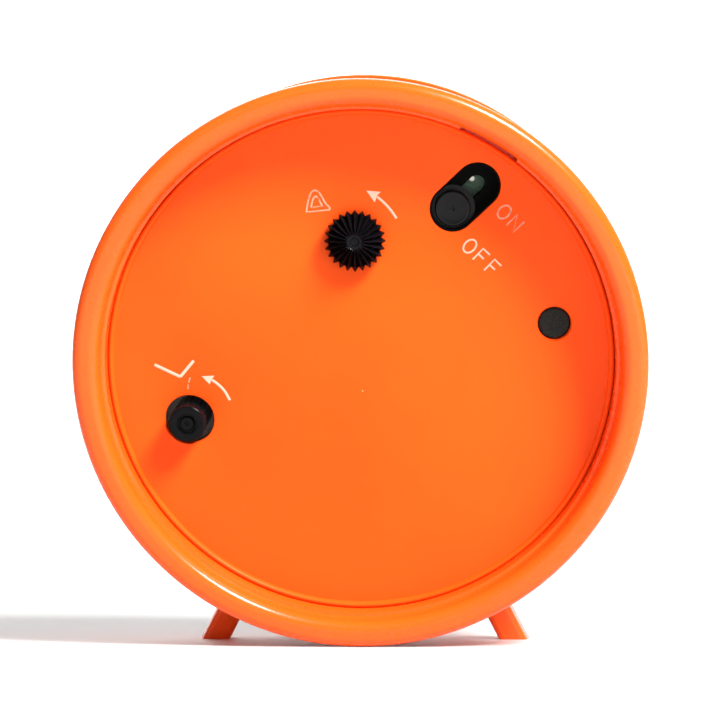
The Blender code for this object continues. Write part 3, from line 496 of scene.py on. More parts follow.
def build(name, form, finish, body, replaced=(), sharp=smoothBelow):
    # lays the form into the leaning clock and hangs it on its body
    bmesh.ops.recalc_face_normals(form, faces=form.faces)
    bmesh.ops.transform(form, matrix=clockPlace, verts=form.verts)
    mesh = bpy.data.meshes.new(name)
    form.to_mesh(mesh)
    form.free()
    mesh.shade_smooth()
    mesh.set_sharp_from_angle(angle=radians(sharp))
    mesh.materials.append(finish)
    piece = bpy.data.objects.new(name, mesh)
    bpy.context.scene.collection.objects.link(piece)
    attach(piece, body)
    if replaced:
        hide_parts(*replaced)
    return piece


def carve(piece, cutter):
    # takes the cutter's shape out of a finished piece; both lie in the clock's place
    modifier = piece.modifiers.new("carve", "BOOLEAN")
    modifier.operation = "DIFFERENCE"
    modifier.solver = "EXACT"
    modifier.object = cutter
    view = bpy.context.evaluated_depsgraph_get()
    carved = bpy.data.meshes.new_from_object(piece.evaluated_get(view))
    piece.modifiers.clear()
    piece.data = carved
    carved.shade_smooth()
    carved.set_sharp_from_angle(angle=radians(smoothBelow))
    bpy.data.objects.remove(cutter)


# Case shell: rolled rear rim, recess wall, shallow outer step and the drum
case = {
    "coverGap": 0.09 * mm, "coverThick": 1.6 * mm, "ledgeDrop": 0.3 * mm, "seatThick": 1.5 * mm,
    "rimWidth": 5.1 * mm, "rimRound": 2.0 * mm, "drumInset": 0.8 * mm, "wall": 2.0 * mm,
    "stepAt": 6.5 * mm, "ledge": 1.6 * mm, "seatWidth": 4.7 * mm, "steps": 192,
    "notchRadius": 2.2 * mm, "notchLength": 8.0 * mm, "notchAngle": 120, "notchDepth": 3.4 * mm,
}
skirtRadius = caseRadius - case["rimWidth"]
drumRadius = caseRadius - case["drumInset"]
drumInside = drumRadius - case["wall"]
coverFace = coverLow.y + case["coverThick"]
coverRadius = coverHigh.x
ledgeFace = coverLow.y - case["ledgeDrop"]


def buildCase():
    rounding = case["rimRound"]
    rim = arc((skirtRadius + rounding, -rounding), rounding, 180, 90, 10)
    rim += arc((caseRadius - rounding, -rounding), rounding, 90, 0, 10)
    seatRadius = drumInside - case["seatWidth"]
    seatFront = boxInClock("movement_front_plate")[0].y
    seatRear = seatFront + case["seatThick"]
    ledgeRear = ledgeFace - case["ledge"]
    wallRear = skirtRadius + 0.8 * case["wall"]
    outline = rim + arc((caseRadius - 0.3 * mm, -case["stepAt"] + 0.3 * mm), 0.3 * mm, 0, -90, 4)
    outline += arc((drumRadius + 0.25 * mm, -case["stepAt"] - 0.25 * mm), 0.25 * mm, 90, 180, 4)
    outline += [
        (drumRadius, shellLow.y + 0.2 * mm),
        (drumRadius - 0.2 * mm, shellLow.y),
        (drumInside, shellLow.y),
        (drumInside, seatFront),
        (seatRadius, seatFront),
        (seatRadius, seatRear),
        (drumInside, seatRear),
        (drumInside, -5.5 * mm),
        (wallRear, -3.6 * mm),
        (wallRear, ledgeRear),
        (coverRadius - 1.8 * mm, ledgeRear),
        (coverRadius - 1.8 * mm, ledgeFace),
        (coverRadius + case["coverGap"], ledgeFace),
    ]
    outline += [(coverRadius + case["coverGap"], -5.0 * mm), (skirtRadius - 0.06 * mm, -4.72 * mm),
                (skirtRadius, -4.55 * mm)]
    shell = build("caseShell", turned(outline, case["steps"]), shellOrange, "clock_body",
                  ["case_shell"])
    notchAt = polar(skirtRadius - 1.0 * mm, radians(case["notchAngle"]))
    notchWay = radians(case["notchAngle"] - 90)
    notch = prism([slot(case["notchRadius"], case["notchLength"], notchWay, notchAt)],
                  ledgeFace, -case["notchDepth"])
    carve(shell, build("notchCutter", notch, shellOrange, "clock_body"))


# Back cover: flat face with its openings, inside a raised bead
cover = {
    "bead": 1.0 * mm, "timeHole": 4.85 * mm, "crownHole": 2.75 * mm, "buttonHole": 3.2 * mm,
    "buttonChamfer": 0.5 * mm, "underEdge": 0.2 * mm,
    "slotRadius": 4.4 * mm, "edge": 0.22 * mm, "steps": 192,
}
slotMiddle = polar(slideTravel / 2, slideAngle, sliderAt)


def rimLoops(outlineOf, radius, edge, slope=1.0):
    # an opening's loops from the face inwards: a rounded edge, then the straight wall
    loops = []
    for i in range(4):
        angle = pi / 2 * i / 3
        outline = outlineOf(radius + edge * (1 - sin(angle)))
        loops.append((outline, coverFace - slope * edge * (1 - cos(angle))))
    loops.append((outlineOf(radius), coverLow.y))
    return loops


def buildCover():
    bead = cover["bead"]
    middle = (coverRadius - bead / 2, coverFace + bead / 2)
    inner = coverRadius - 1.35 * bead
    outline = [(inner, coverFace), (coverRadius - 1.12 * bead, coverFace + 0.03 * bead)]
    outline += arc(middle, bead / 2, 170, 0, 10)
    outline += [(coverRadius, coverLow.y + cover["underEdge"]), (coverRadius - cover["underEdge"], coverLow.y),
                (inner, coverLow.y)]
    form = turned(outline, cover["steps"], closed=False)
    form.edges.ensure_lookup_table()
    outer = [e for e in form.edges if e.is_boundary]
    face = [e for e in outer if abs(e.verts[0].co.y - coverFace) < 1e-6]
    under = [e for e in outer if e not in face]
    openings = [
        (lambda r: circle(r, timeAt, 64), cover["timeHole"], cover["edge"], 1.0),
        (lambda r: circle(r, crownAt, 48), cover["crownHole"], cover["edge"], 1.0),
        (lambda r: circle(r, buttonAt, 48), cover["buttonHole"], cover["buttonChamfer"], 1.1),
        (lambda r: slot(r, slideTravel, slideAngle, slotMiddle, 28), cover["slotRadius"], cover["edge"], 1.0),
    ]
    for outlineOf, radius, edge, slope in openings:
        rings = [addLoop(form, points, y) for points, y in rimLoops(outlineOf, radius, edge, slope)]
        for low, high in zip(rings, rings[1:]):
            bmesh.ops.bridge_loops(form, edges=low + high)
        face += rings[0]
        under += rings[-1]
    bmesh.ops.triangle_fill(form, use_beauty=True, edges=face)
    bmesh.ops.triangle_fill(form, use_beauty=True, edges=under)
    build("backCover", form, coverOrange, "rear_cover", ["back_cover"])


# Front: bezel, domed lens, spacer and dial
front = {"bezelRound": 2.0 * mm, "lipInset": 6.5 * mm, "lensInset": 4.8 * mm, "dome": 1.3 * mm, "steps": 192}


def buildFront():
    lip = caseRadius - front["lipInset"]
    lensRadius = caseRadius - front["lensInset"]
    rounding = front["bezelRound"]
    nose = bezelLow.y
    rear = nose + 6.7 * mm
    lensSeat = lensHigh.y - 1.6 * mm
    outline = [(caseRadius - 0.25 * mm, rear), (caseRadius, rear - 0.25 * mm)]
    outline += arc((caseRadius - rounding, nose + rounding), rounding, 0, -90, 10)
    outline += arc((lip + 1.4 * mm, nose + 1.4 * mm), 1.4 * mm, -90, -180, 6)
    outline += [(lip, lensSeat - 0.3 * mm), (lensRadius + 0.3 * mm, lensSeat - 0.3 * mm),
                (lensRadius + 0.3 * mm, dialHigh.y), (drumInside - 0.3 * mm, dialHigh.y),
                (drumInside - 0.3 * mm, rear)]
    build("frontBezel", turned(outline, front["steps"]), shellOrange, "clock_body",
          ["front_bezel"])

    window = lip - 0.3 * mm
    dome = front["dome"]
    domeRadius = (window ** 2 + dome ** 2) / (2 * dome)
    half = degrees(asin(window / domeRadius))
    centreY = lensSeat - dome + domeRadius
    crest = arc((0.0, centreY), domeRadius, -90, -90 + half, 24)
    crest[0] = (0.0, crest[0][1])
    outline = crest + [(lensRadius, lensSeat), (lensRadius, lensHigh.y), (0.0, lensHigh.y)]
    build("lensDome", turned(outline, 160), finishes["clear_lens"], "clock_body", ["lens"])

    spacerLow, spacerHigh = boxInClock("lens_spacer")
    outline = [(lensRadius, spacerLow.y), (lensRadius, spacerHigh.y), (lensRadius - 3.4 * mm, spacerHigh.y)]
    outline += arc((lensRadius - 2.6 * mm, spacerLow.y + 0.4 * mm), 0.4 * mm, 180, 270, 4)
    build("dialSurround", turned(outline, 160), finishes["dial_plastic"], "clock_body",
          ["lens_spacer"])


dialPlan = {"pipeHole": 3.5 * mm, "lampHole": 1.65 * mm, "numeralRadius": 0.66, "numeralHeight": 7.2 * mm,
            "minuteRing": 0.80, "minuteLength": 1.7 * mm, "hourLength": 2.6 * mm, "minuteWidth": 0.35 * mm,
            "hourWidth": 0.9 * mm, "swell": 0.12 / 7, "raise": 0.03 * mm}


def bar(width, length, at, angle, y, height):
    # a thin printed stroke centred at (x, z), lying along the angle
    form = bmesh.new()
    bmesh.ops.create_cube(form, size=1.0)
    bmesh.ops.scale(form, verts=form.verts, vec=(width, height, length))
    bmesh.ops.bevel(form, geom=[e for e in form.edges if abs(e.verts[0].co.y - e.verts[1].co.y) > height / 2],
                    offset=width * 0.3, segments=2, affect="EDGES", profile=0.5, material=-1)
    return shift(form, at, y, angle)


def textForm(words, size, thickness):
    # letters as a mesh in the dial plane, readable from the front (towards minus y)
    curve = bpy.data.curves.new("letters", "FONT")
    curve.body = words
    curve.size = size
    curve.align_x = "CENTER"
    curve.align_y = "CENTER"
    curve.extrude = thickness / 2
    curve.offset = dialPlan["swell"] * size
    curve.resolution_u = 5
    holder = bpy.data.objects.new("letters", curve)
    bpy.context.scene.collection.objects.link(holder)
    view = bpy.context.evaluated_depsgraph_get()
    mesh = bpy.data.meshes.new_from_object(holder.evaluated_get(view))
    bpy.data.objects.remove(holder)
    form = bmesh.new()
    form.from_mesh(mesh)
    bpy.data.meshes.remove(mesh)
    bmesh.ops.remove_doubles(form, verts=form.verts, dist=1e-7)
    bmesh.ops.rotate(form, verts=form.verts, cent=(0, 0, 0), matrix=Matrix.Rotation(pi / 2, 3, "X"))
    return form


def buildDial():
    radius = dialHigh.x
    lampLow, lampHigh = boxInClock("dial_lamp")
    lampAt = (0.0, (lampLow.z + lampHigh.z) / 2)
    face = dialLow.y
    plate = prism([circle(radius, (0, 0), 160), circle(dialPlan["pipeHole"], (0, 0)),
                   circle(dialPlan["lampHole"], lampAt, 32)], face, dialHigh.y)
    build("dialPlate", plate, finishes["dial_plastic"], "clock_body", ["dial"])
    ink = face - dialPlan["raise"] / 2
    marks = []
    for minute in range(60):
        angle = tau * minute / 60
        onHour = minute % 5 == 0
        length = dialPlan["hourLength"] if onHour else dialPlan["minuteLength"]
        width = dialPlan["hourWidth"] if onHour else dialPlan["minuteWidth"]
        at = polar(dialPlan["minuteRing"] * caseRadius - length / 2, pi / 2 - angle)
        marks.append(bar(width, length, at, angle, ink, dialPlan["raise"]))
    build("minuteMarks", merge(marks), dialInk, "clock_body")
    numerals = []
    for hour in range(1, 13):
        at = polar(dialPlan["numeralRadius"] * caseRadius, pi / 2 - tau * hour / 12)
        numerals.append(shift(textForm(str(hour), dialPlan["numeralHeight"], dialPlan["raise"]), at, ink))
    build("hourNumerals", merge(numerals), dialInk, "clock_body")


# Hands: tapered blades with a raised spine and a turned hub
hands = {
    "hour_hand": {"reach": 0.50, "width": 2.3 * mm, "tip": 0.6 * mm, "tail": 0.0, "bore": 2.45 * mm,
                  "joint": "hour_display", "slot": "dark_hand", "at": 305},
    "minute_hand": {"reach": 0.72, "width": 1.9 * mm, "tip": 0.45 * mm, "tail": 0.0, "bore": 1.55 * mm,
                    "joint": "minute_display", "slot": "dark_hand", "at": 60},
    "alarm_hand": {"reach": 0.42, "width": 1.3 * mm, "tip": 0.35 * mm, "tail": 0.0, "bore": 3.35 * mm,
                   "joint": "alarm_display", "slot": "orange_hand", "at": 210},
    "second_hand": {"reach": 0.76, "width": 0.75 * mm, "tip": 0.3 * mm, "tail": 0.2, "bore": 0.6 * mm,
                    "joint": "second_display", "slot": "orange_hand", "at": 150},
}


handHub = {"wall": 1.25 * mm, "edge": 0.15 * mm, "bladeOverlap": 0.4 * mm, "tailOverlap": 0.3 * mm, "taper": 1.6}

def trimAt(form, height):
    # cuts a blade off at a height on its own side of the hub, and closes the cut
    side = 1 if height > 0 else -1
    bmesh.ops.bisect_plane(form, geom=form.verts[:] + form.edges[:] + form.faces[:],
                           plane_co=(0, 0, height), plane_no=(0, 0, side), clear_inner=True)
    bmesh.ops.contextual_create(form, geom=[e for e in form.edges if e.is_boundary])

def buildHand(node, plan):
    low, high = boxInClock(node)
    thickness = high.y - low.y
    reach = plan["reach"] * caseRadius
    hub = plan["bore"] + handHub["wall"]
    blade = bmesh.new()
    bmesh.ops.create_cube(blade, size=1.0)
    start = -plan["tail"] * caseRadius
    bmesh.ops.scale(blade, verts=blade.verts, vec=(plan["width"], thickness, reach - start))
    bmesh.ops.translate(blade, verts=blade.verts, vec=(0, 0, (reach + start) / 2))
    bmesh.ops.subdivide_edges(blade, edges=[e for e in blade.edges if e.calc_length() > reach / 2], cuts=5,
                              use_grid_fill=True)
    for vert in blade.verts:
        share = max(0.0, vert.co.z / reach)
        vert.co.x *= 1 + (plan["tip"] / plan["width"] - 1) * share ** handHub["taper"]
    bmesh.ops.recalc_face_normals(blade, faces=blade.faces)
    ridge = [e for e in blade.edges if e.calc_face_angle(0) > radians(60) and e.verts[0].co.y < 0
             and e.verts[1].co.y < 0]
    bmesh.ops.bevel(blade, geom=ridge, offset=0.3 * thickness, segments=2, affect="EDGES", profile=0.5,
                    material=-1)
    bore = plan["bore"]
    half = thickness / 2
    edge = handHub["edge"]
    disc = turned([(bore, half), (bore, -half), (hub - edge, -half), (hub, -half + edge), (hub, half)], 48)
    forms = [blade]
    if plan["tail"]:
        forms.append(blade.copy())
        trimAt(forms[0], hub - handHub["tailOverlap"])
        trimAt(forms[1], handHub["tailOverlap"] - hub)
    else:
        trimAt(blade, hub - handHub["bladeOverlap"])
    forms.append(disc)
    whole = shift(merge(forms), (0, 0), (low.y + high.y) / 2, radians(plan["at"]))
    build(node.replace("_hand", "Hand"), whole, finishes[plan["slot"]], plan["joint"], [node])


# Alarm crown: sharp ridges fanning from a small hub with a dimple in it
crown = {
    "ridges": 24, "valley": 0.86, "valleyTop": 0.81, "crestTip": 0.97, "rings": 7, "disc": 0.25,
    "stem": 2.45 * mm, "gap": 0.5 * mm, "crestFoot": 1.8 * mm, "crestRise": 2.1 * mm, "crestDroop": 0.25 * mm,
    "valleyFoot": 1.0 * mm, "valleyRise": 2.3 * mm, "hubTop": 3.45 * mm,
    "dimple": ((0.92, 0.12 * mm), (0.62, 0.16 * mm), (0.5, 0.42 * mm), (0.2, 0.5 * mm)),
}


def buildCrown():
    radius = crownHigh.x - crownAt[0]
    base = coverFace + crown["gap"]
    count = crown["ridges"]
    valley = radius * crown["valley"]
    valleyTop = radius * crown["valleyTop"]
    crestTip = radius * crown["crestTip"]
    crestFoot = base + crown["crestFoot"]
    valleyFoot = base + crown["valleyFoot"]

    def ring(tip, tipY, low, lowY):
        # four points to a ridge: crest, flank, valley, flank
        points = []
        for i in range(count):
            for part, mixShare in ((0.0, 0.0), (0.06, 0.06), (0.5, 1.0), (0.94, 0.06)):
                distance = tip + (low - tip) * mixShare
                height = tipY + (lowY - tipY) * mixShare
                x, z = polar(distance, tau * (i + part) / count)
                points.append((x, height, z))
        return points

    rings = [ring(radius * 0.985, base, valley, base),
             ring(radius, base + 0.2 * mm, valley, base + 0.1 * mm),
             ring(radius, base + 1.5 * mm, valley, base + 0.7 * mm),
             ring(crestTip, crestFoot, valleyTop, valleyFoot)]
    inner = crown["disc"] * radius
    for i in range(1, crown["rings"] + 1):
        share = i / crown["rings"]
        crestY = crestFoot + crown["crestRise"] * share - crown["crestDroop"] * share ** 6
        valleyY = valleyFoot + crown["valleyRise"] * share
        rings.append(ring(crestTip + (inner * 1.2 - crestTip) * share, crestY,
                          valleyTop * (1 - share) + inner * 1.1 * share, valleyY))
    hubTop = base + crown["hubTop"]
    rings.append(ring(inner * 1.02, hubTop + 0.02 * mm, inner, hubTop))
    for share, depth in crown["dimple"]:
        rings.append(ring(inner * share, hubTop - depth, inner * share, hubTop - depth))
    form = bmesh.new()
    loops = []
    for points in rings:
        verts = [form.verts.new(point) for point in points]
        loops.append([form.edges.new(pair) for pair in zip(verts, verts[1:] + verts[:1])])
    for low, high in zip(loops, loops[1:]):
        bmesh.ops.bridge_loops(form, edges=low + high)
    bmesh.ops.contextual_create(form, geom=loops[0])
    bmesh.ops.contextual_create(form, geom=loops[-1])
    stem = turned([(0.0, crownLow.y), (crown["stem"], crownLow.y), (crown["stem"], base + 0.2 * mm),
                   (0.0, base + 0.2 * mm)], 32)
    build("alarmCrown", shift(merge([form, stem]), crownAt), crownBlack, "alarm_crown",
          ["alarm_set_crown"], sharp=20)


# Time knob: fluted side, chamfered end and a cup with a small boss in it
knob = {"flutes": 20, "fluteDepth": 0.12 * mm, "cup": 0.54, "cupDepth": 0.95 * mm, "boss": 0.38,
        "chamfer": 0.45 * mm, "cross": 0.3 * mm, "crossTurn": 0.3}


def buildTimeKnob():
    radius = knobHigh.x - timeAt[0]
    top = knobHigh.y
    foot = knobLow.y
    steps = knob["flutes"] * 6

    def fluted(distance, depth):
        return [polar(distance - depth * abs(sin(knob["flutes"] * pi * i / steps)) ** 2, tau * i / steps)
                for i in range(steps)]

    depth = knob["fluteDepth"]
    chamfer = knob["chamfer"]
    cup = knob["cup"] * radius
    boss = knob["boss"] * radius
    floor = top - knob["cupDepth"]
    loops = [(fluted(radius, depth), foot), (fluted(radius, depth), top - chamfer - 0.2 * mm),
             (fluted(radius - 0.05 * mm, depth * 0.6), top - chamfer)]
    loops += [(fluted(radius - chamfer * (1 - cos(a)), 0.0), top - chamfer * (1 - sin(a)))
              for a in (radians(25), radians(50), radians(75), radians(90))]
    for distance, y in ((cup + 0.2 * mm, top), (cup + 0.06 * mm, top - 0.06 * mm), (cup, top - 0.2 * mm),
                        (cup - 0.1 * mm, floor), (boss + 0.1 * mm, floor), (boss, floor + 0.1 * mm),
                        (boss - 0.05 * mm, floor + 0.5 * mm), (boss - 0.15 * mm, floor + 0.6 * mm),
                        (0.12 * radius, floor + 0.6 * mm), (0.08 * radius, floor + 0.35 * mm)):
        loops.append((fluted(distance, 0.0), y))
    form = skin(loops)
    cross = [bar(knob["cross"], 1.5 * boss, (0, 0), angle, floor + 0.62 * mm, 0.1 * mm)
             for angle in (knob["crossTurn"], knob["crossTurn"] + pi / 2)]
    build("timeKnob", shift(merge([form] + cross), timeAt), knobBlack, "time_setting",
          ["time_set_knob"], sharp=34)


# Alarm switch: round slider in a black-lined slot
switch = {
    "edge": 0.35 * mm, "flange": 1.0 * mm, "flangeThick": 1.0 * mm, "flangeDrop": 1.4 * mm, "stem": 1.5 * mm,
    "stemGap": 0.15 * mm, "collar": 0.3 * mm, "wall": 1.3 * mm, "sideGap": 0.3 * mm, "floorGap": 0.35 * mm,
    "floorThick": 0.8 * mm,
}

def buildSwitch():
    flangeRadius = sliderHigh.x - sliderAt[0]
    radius = flangeRadius - switch["flange"]
    edge = switch["edge"]
    stem = switch["stem"]
    top = sliderHigh.y
    flangeTop = coverLow.y - switch["flangeDrop"]
    flangeRear = flangeTop - switch["flangeThick"]
    outline = [(0.0, top - 0.24 * mm), (0.12 * mm, top - 0.16 * mm), (0.3 * mm, top - 0.05 * mm),
               (0.34 * mm, top - 0.12 * mm), (0.5 * mm, top - 0.03 * mm), (0.75 * mm, top - 0.05 * mm)]
    outline += [(radius - 0.8 * mm, top - 0.1 * mm), (radius - 0.55 * mm, top - 0.02 * mm)]
    outline += arc((radius - edge, top - edge), edge, 90, 0, 6)
    outline += [(radius, flangeTop), (flangeRadius, flangeTop), (flangeRadius, flangeRear),
                (stem, flangeRear), (stem, sliderLow.y), (0.0, sliderLow.y)]
    build("alarmSlider", shift(turned(outline, 64), sliderAt), sliderPaintedLitBlack, "alarm_switch",
          ["alarm_slider"])

    housingFront = boxInClock("alarm_switch_housing")[0].y
    outside = cover["slotRadius"] + switch["wall"]
    inside = flangeRadius + switch["sideGap"]
    collarOut = cover["slotRadius"] - 0.05 * mm
    collarIn = collarOut - switch["collar"]
    stemWay = stem + switch["stemGap"]
    floorTop = flangeRear - switch["floorGap"]
    floorRear = min(floorTop - switch["floorThick"], housingFront + 0.3 * mm)
    lip = coverLow.y - 0.1 * mm

    def way(distance):
        return slot(distance, slideTravel, slideAngle, slotMiddle, 28)

    loops = [(way(stemWay), floorRear), (way(stemWay), floorTop), (way(inside), floorTop),
             (way(inside), lip - 0.9 * mm), (way(collarIn), lip - 0.5 * mm),
             (way(collarIn), coverFace - 0.14 * mm), (way(collarIn + 0.1 * mm), coverFace - 0.05 * mm),
             (way(collarOut - 0.08 * mm), coverFace - 0.05 * mm), (way(collarOut), coverFace - 0.13 * mm),
             (way(collarOut), lip), (way(outside), lip), (way(outside), housingFront),
             (way(inside), housingFront), (way(inside), floorRear)]
    build("switchHousing", sleeve(loops), switchBlack, "clock_body", ["alarm_switch_housing"])

# Light button: shallow cup on a flanged stem
button = {"radius": 2.9 * mm, "edge": 0.4 * mm, "flange": 1.0 * mm, "flangeThick": 0.8 * mm,
          "flangeDrop": 0.4 * mm, "stem": 1.2 * mm}

def buildButton():
    radius = button["radius"]
    edge = button["edge"]
    stem = button["stem"]
    top = buttonHigh.y
    flange = coverLow.y - button["flangeDrop"]
    flangeRear = flange - button["flangeThick"]
    flangeRadius = radius + button["flange"]
    outline = [(0.0, top - 0.1 * mm), (0.5 * radius, top - 0.07 * mm), (0.8 * radius, top - 0.01 * mm)]
    outline += arc((radius - edge, top - edge), edge, 90, 0, 6)
    outline += [(radius, flange), (flangeRadius, flange), (flangeRadius, flangeRear),
                (stem, flangeRear), (stem, buttonLow.y), (0.0, buttonLow.y)]
    build("pressButton", shift(turned(outline, 64), buttonAt), finishes["soft_black"], "light_button",
          ["press_button"])


# Printed symbols on the cover, given as (to the right, up) in millimetres as seen from behind
prints = {
    "bellSign": {"ink": "worn", "width": 0.34, "closed": True, "around": crownAt,
                 "strokes": [[(-9.35, 5.45), (-8.95, 7.9), (-8.3, 9.35), (-7.45, 9.7), (-6.6, 8.9), (-5.7, 7.1),
                              (-4.75, 6.2), (-4.95, 5.85)],
                             [(-8.45, 6.3), (-8.1, 7.9), (-7.5, 8.6), (-6.95, 8.0), (-6.3, 6.6)]]},
    "alarmArrow": {"ink": "crisp", "width": 0.46, "closed": False, "around": crownAt,
                   "strokes": [[(7.95, 4.15), (7.0, 5.6), (5.8, 7.0), (4.3, 8.3)]],
                   "head": [(2.2, 9.5), (5.0, 9.25), (4.3, 8.6), (3.8, 7.25)]},
    "handsSign": {"ink": "crisp", "width": 0.58, "closed": False, "around": timeAt,
                  "strokes": [[(-6.6, 10.95), (-1.6, 8.55)], [(-1.6, 8.55), (1.1, 11.75)]]},
    "handsSignWorn": {"ink": "worn", "width": 0.22, "closed": False, "around": timeAt,
                      "strokes": [[(0.3, 8.4), (0.0, 7.4)], [(-0.1, 7.0), (-0.2, 6.1)]]},
    "timeArrow": {"ink": "crisp", "width": 0.5, "closed": False, "around": timeAt,
                  "strokes": [[(8.0, 3.85), (7.1, 5.65), (5.9, 6.95), (4.6, 7.9)]],
                  "head": [(2.6, 8.65), (5.1, 8.75), (4.6, 8.1), (4.1, 7.05)]},
}
letterPlan = {"height": 2.9, "stroke": 0.34, "gap": 3.05}
letterStrokes = {
    "O": [[(0.5 + 0.36 * cos(tau * i / 24), 0.5 + 0.5 * sin(tau * i / 24)) for i in range(24)]],
    "N": [[(0.18, 0.0), (0.18, 1.0), (0.84, 0.0), (0.84, 1.0)]],
    "F": [[(0.2, 0.0), (0.2, 1.0), (0.82, 1.0)], [(0.2, 0.52), (0.7, 0.52)]],
}
words = {
    "onSign": {"letters": "ON", "ink": "worn", "at": (9.85, -0.65), "turn": -46, "from": sliderAt},
    "offSign": {"letters": "OFF", "ink": "crisp", "at": (3.3, -7.2), "turn": -44, "from": sliderAt},
}
printRaise = 0.035 * mm


def inkStroke(points, width, closed=False):
    # a rounded ribbon of ink along the points, given as (x, z) in metres
    curve = bpy.data.curves.new("stroke", "CURVE")
    curve.dimensions = "3D"
    curve.bevel_depth = width / 2
    curve.bevel_resolution = 2
    curve.use_fill_caps = True
    spline = curve.splines.new("POLY")
    spline.points.add(len(points) - 1)
    spline.use_cyclic_u = closed
    for spot, (x, z) in zip(spline.points, points):
        spot.co = (x, 0, z, 1)
    holder = bpy.data.objects.new("stroke", curve)
    bpy.context.scene.collection.objects.link(holder)
    view = bpy.context.evaluated_depsgraph_get()
    mesh = bpy.data.meshes.new_from_object(holder.evaluated_get(view))
    bpy.data.objects.remove(holder)
    form = bmesh.new()
    form.from_mesh(mesh)
    bpy.data.meshes.remove(mesh)
    bmesh.ops.remove_doubles(form, verts=form.verts, dist=1e-7)
    bmesh.ops.scale(form, verts=form.verts, vec=(1, 2 * printRaise / width, 1))
    return form


def softened(points, rounds=2):
    # rounds the corners of an open line by cutting them back
    for _ in range(rounds):
        cut = [points[0]]
        for (ax, az), (bx, bz) in zip(points, points[1:]):
            cut += [(ax + share * (bx - ax), az + share * (bz - az)) for share in (0.25, 0.75)]
        points = cut + [points[-1]]
    return points


def fromBehind(point, around):
    return around[0] - point[0] * mm, around[1] + point[1] * mm


def buildPrints():
    inks = {"worn": inkWorn, "crisp": inkCrisp}
    for name, plan in prints.items():
        forms = []
        for stroke in plan["strokes"]:
            line = softened(stroke) if len(stroke) > 2 else stroke
            forms.append(inkStroke([fromBehind(p, plan["around"]) for p in line], plan["width"] * mm,
                                   plan["closed"]))
        if "head" in plan:
            head = [fromBehind(p, plan["around"]) for p in plan["head"]]
            forms.append(prism([head], -printRaise, printRaise))
        build(name, shift(merge(forms), (0, 0), coverFace), inks[plan["ink"]], "rear_cover")
    for name, plan in words.items():
        forms = []
        right, up = plan["at"]
        turn = radians(plan["turn"])
        for number, letter in enumerate(plan["letters"]):
            for stroke in letterStrokes[letter]:
                line = []
                for u, v in stroke:
                    across = (u - 0.5) * letterPlan["height"] + number * letterPlan["gap"]
                    along = (v - 0.5) * letterPlan["height"]
                    point = (right + across * cos(turn) - along * sin(turn),
                             up + across * sin(turn) + along * cos(turn))
                    line.append(fromBehind(point, plan["from"]))
                forms.append(inkStroke(line, letterPlan["stroke"] * mm, letter == "O"))
        build(name, shift(merge(forms), (0, 0), coverFace), inks[plan["ink"]], "rear_cover")


buildCase()
buildCover()
print("shell and cover ready")
buildFront()
buildDial()
for handNode, handPlan in hands.items():
    buildHand(handNode, handPlan)
print("front, dial and hands ready")
buildCrown()
buildTimeKnob()
buildSwitch()
buildButton()
buildPrints()
print("controls and prints ready")

# Studio: pale table that sweeps up behind the clock, a soft key light high on the right, and the camera
studio = {"sweepRadius": 0.5, "wallAt": -0.9, "width": 6.0, "nearEdge": 2.5, "wallHeight": 3.0}


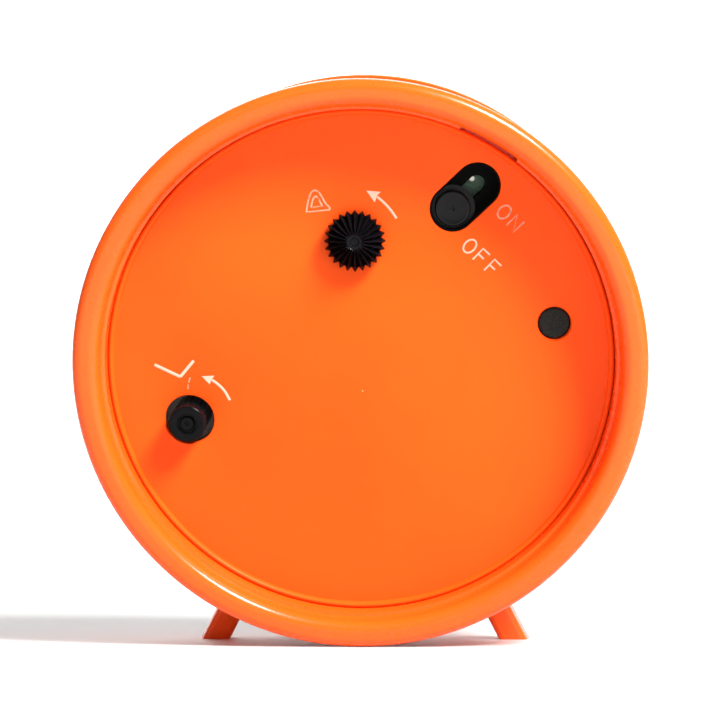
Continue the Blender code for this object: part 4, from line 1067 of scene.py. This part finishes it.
def buildTable():
    bend = studio["sweepRadius"]
    corner = (studio["wallAt"] + bend, bend)
    profile = [(studio["nearEdge"], 0.0), (corner[0], 0.0)]
    profile += arc(corner, bend, 270, 180, 24)[1:]
    profile.append((studio["wallAt"], studio["wallHeight"]))
    form = bmesh.new()
    verts = [form.verts.new((-studio["width"] / 2, y, z)) for y, z in profile]
    edges = [form.edges.new(pair) for pair in zip(verts, verts[1:])]
    moved = bmesh.ops.extrude_edge_only(form, edges=edges)
    side = [item for item in moved["geom"] if isinstance(item, bmesh.types.BMVert)]
    bmesh.ops.translate(form, verts=side, vec=(studio["width"], 0, 0))
    bmesh.ops.recalc_face_normals(form, faces=form.faces)
    mesh = bpy.data.meshes.new("table")
    form.to_mesh(mesh)
    form.free()
    mesh.shade_smooth()
    look = Finish("paleTable", 0.55)
    look.feed(Base_Color=look.mix(look.noise(0.3, 2.0), (0.62, 0.62, 0.62), (0.65, 0.65, 0.647)))
    mesh.materials.append(look.material)
    table = bpy.data.objects.new("table", mesh)
    bpy.context.scene.collection.objects.link(table)


def softLight(name, at, aim, size, power, tone=(1, 1, 1)):
    light = bpy.data.lights.new(name, "AREA")
    light.shape = "DISK"
    light.size = size
    light.energy = power
    light.color = tone
    lamp = bpy.data.objects.new(name, light)
    lamp.location = at
    lamp.rotation_euler = (Vector(aim) - Vector(at)).to_track_quat("-Z", "Y").to_euler()
    bpy.context.scene.collection.objects.link(lamp)


buildTable()
aimAt = tuple(rimCentre)
softLight("keyLight", (-0.52, 0.58, 0.72), aimAt, 0.36, 29.0, (1.0, 0.985, 0.96))
softLight("fillLight", (0.5, 1.3, 0.7), aimAt, 1.0, 1.0)
softLight("frontLight", (0.30, -0.50, 0.75), aimAt, 0.4, 2.0)
softLight("backdropLight", (0.2, -0.6, 1.0), (0.0, -2.0, 0.45), 1.0, 14.0)
world = bpy.data.worlds.new("studioAir")
world.use_nodes = True
world.node_tree.nodes["Background"].inputs["Color"].default_value = (1.0, 1.0, 1.0, 1.0)
world.node_tree.nodes["Background"].inputs["Strength"].default_value = 0.2
bpy.context.scene.world = world
bpy.context.scene.view_settings.view_transform = "Standard"

view = {"from": (-0.010, 0.3612, 0.0255), "aimShift": (-0.0002, 0.0, 0.0023), "lens": 89.65,
        "sensor": 36.0}
camera = bpy.data.cameras.new("camera")
camera.lens = view["lens"]
camera.sensor_width = view["sensor"]
camera.clip_start = 0.01
eye = bpy.data.objects.new("camera", camera)
eye.location = view["from"]
lookWay = rimCentre + Vector(view["aimShift"]) - eye.location
eye.rotation_euler = lookWay.to_track_quat("-Z", "Y").to_euler()
bpy.context.scene.collection.objects.link(eye)
bpy.context.scene.camera = eye
print("studio ready")
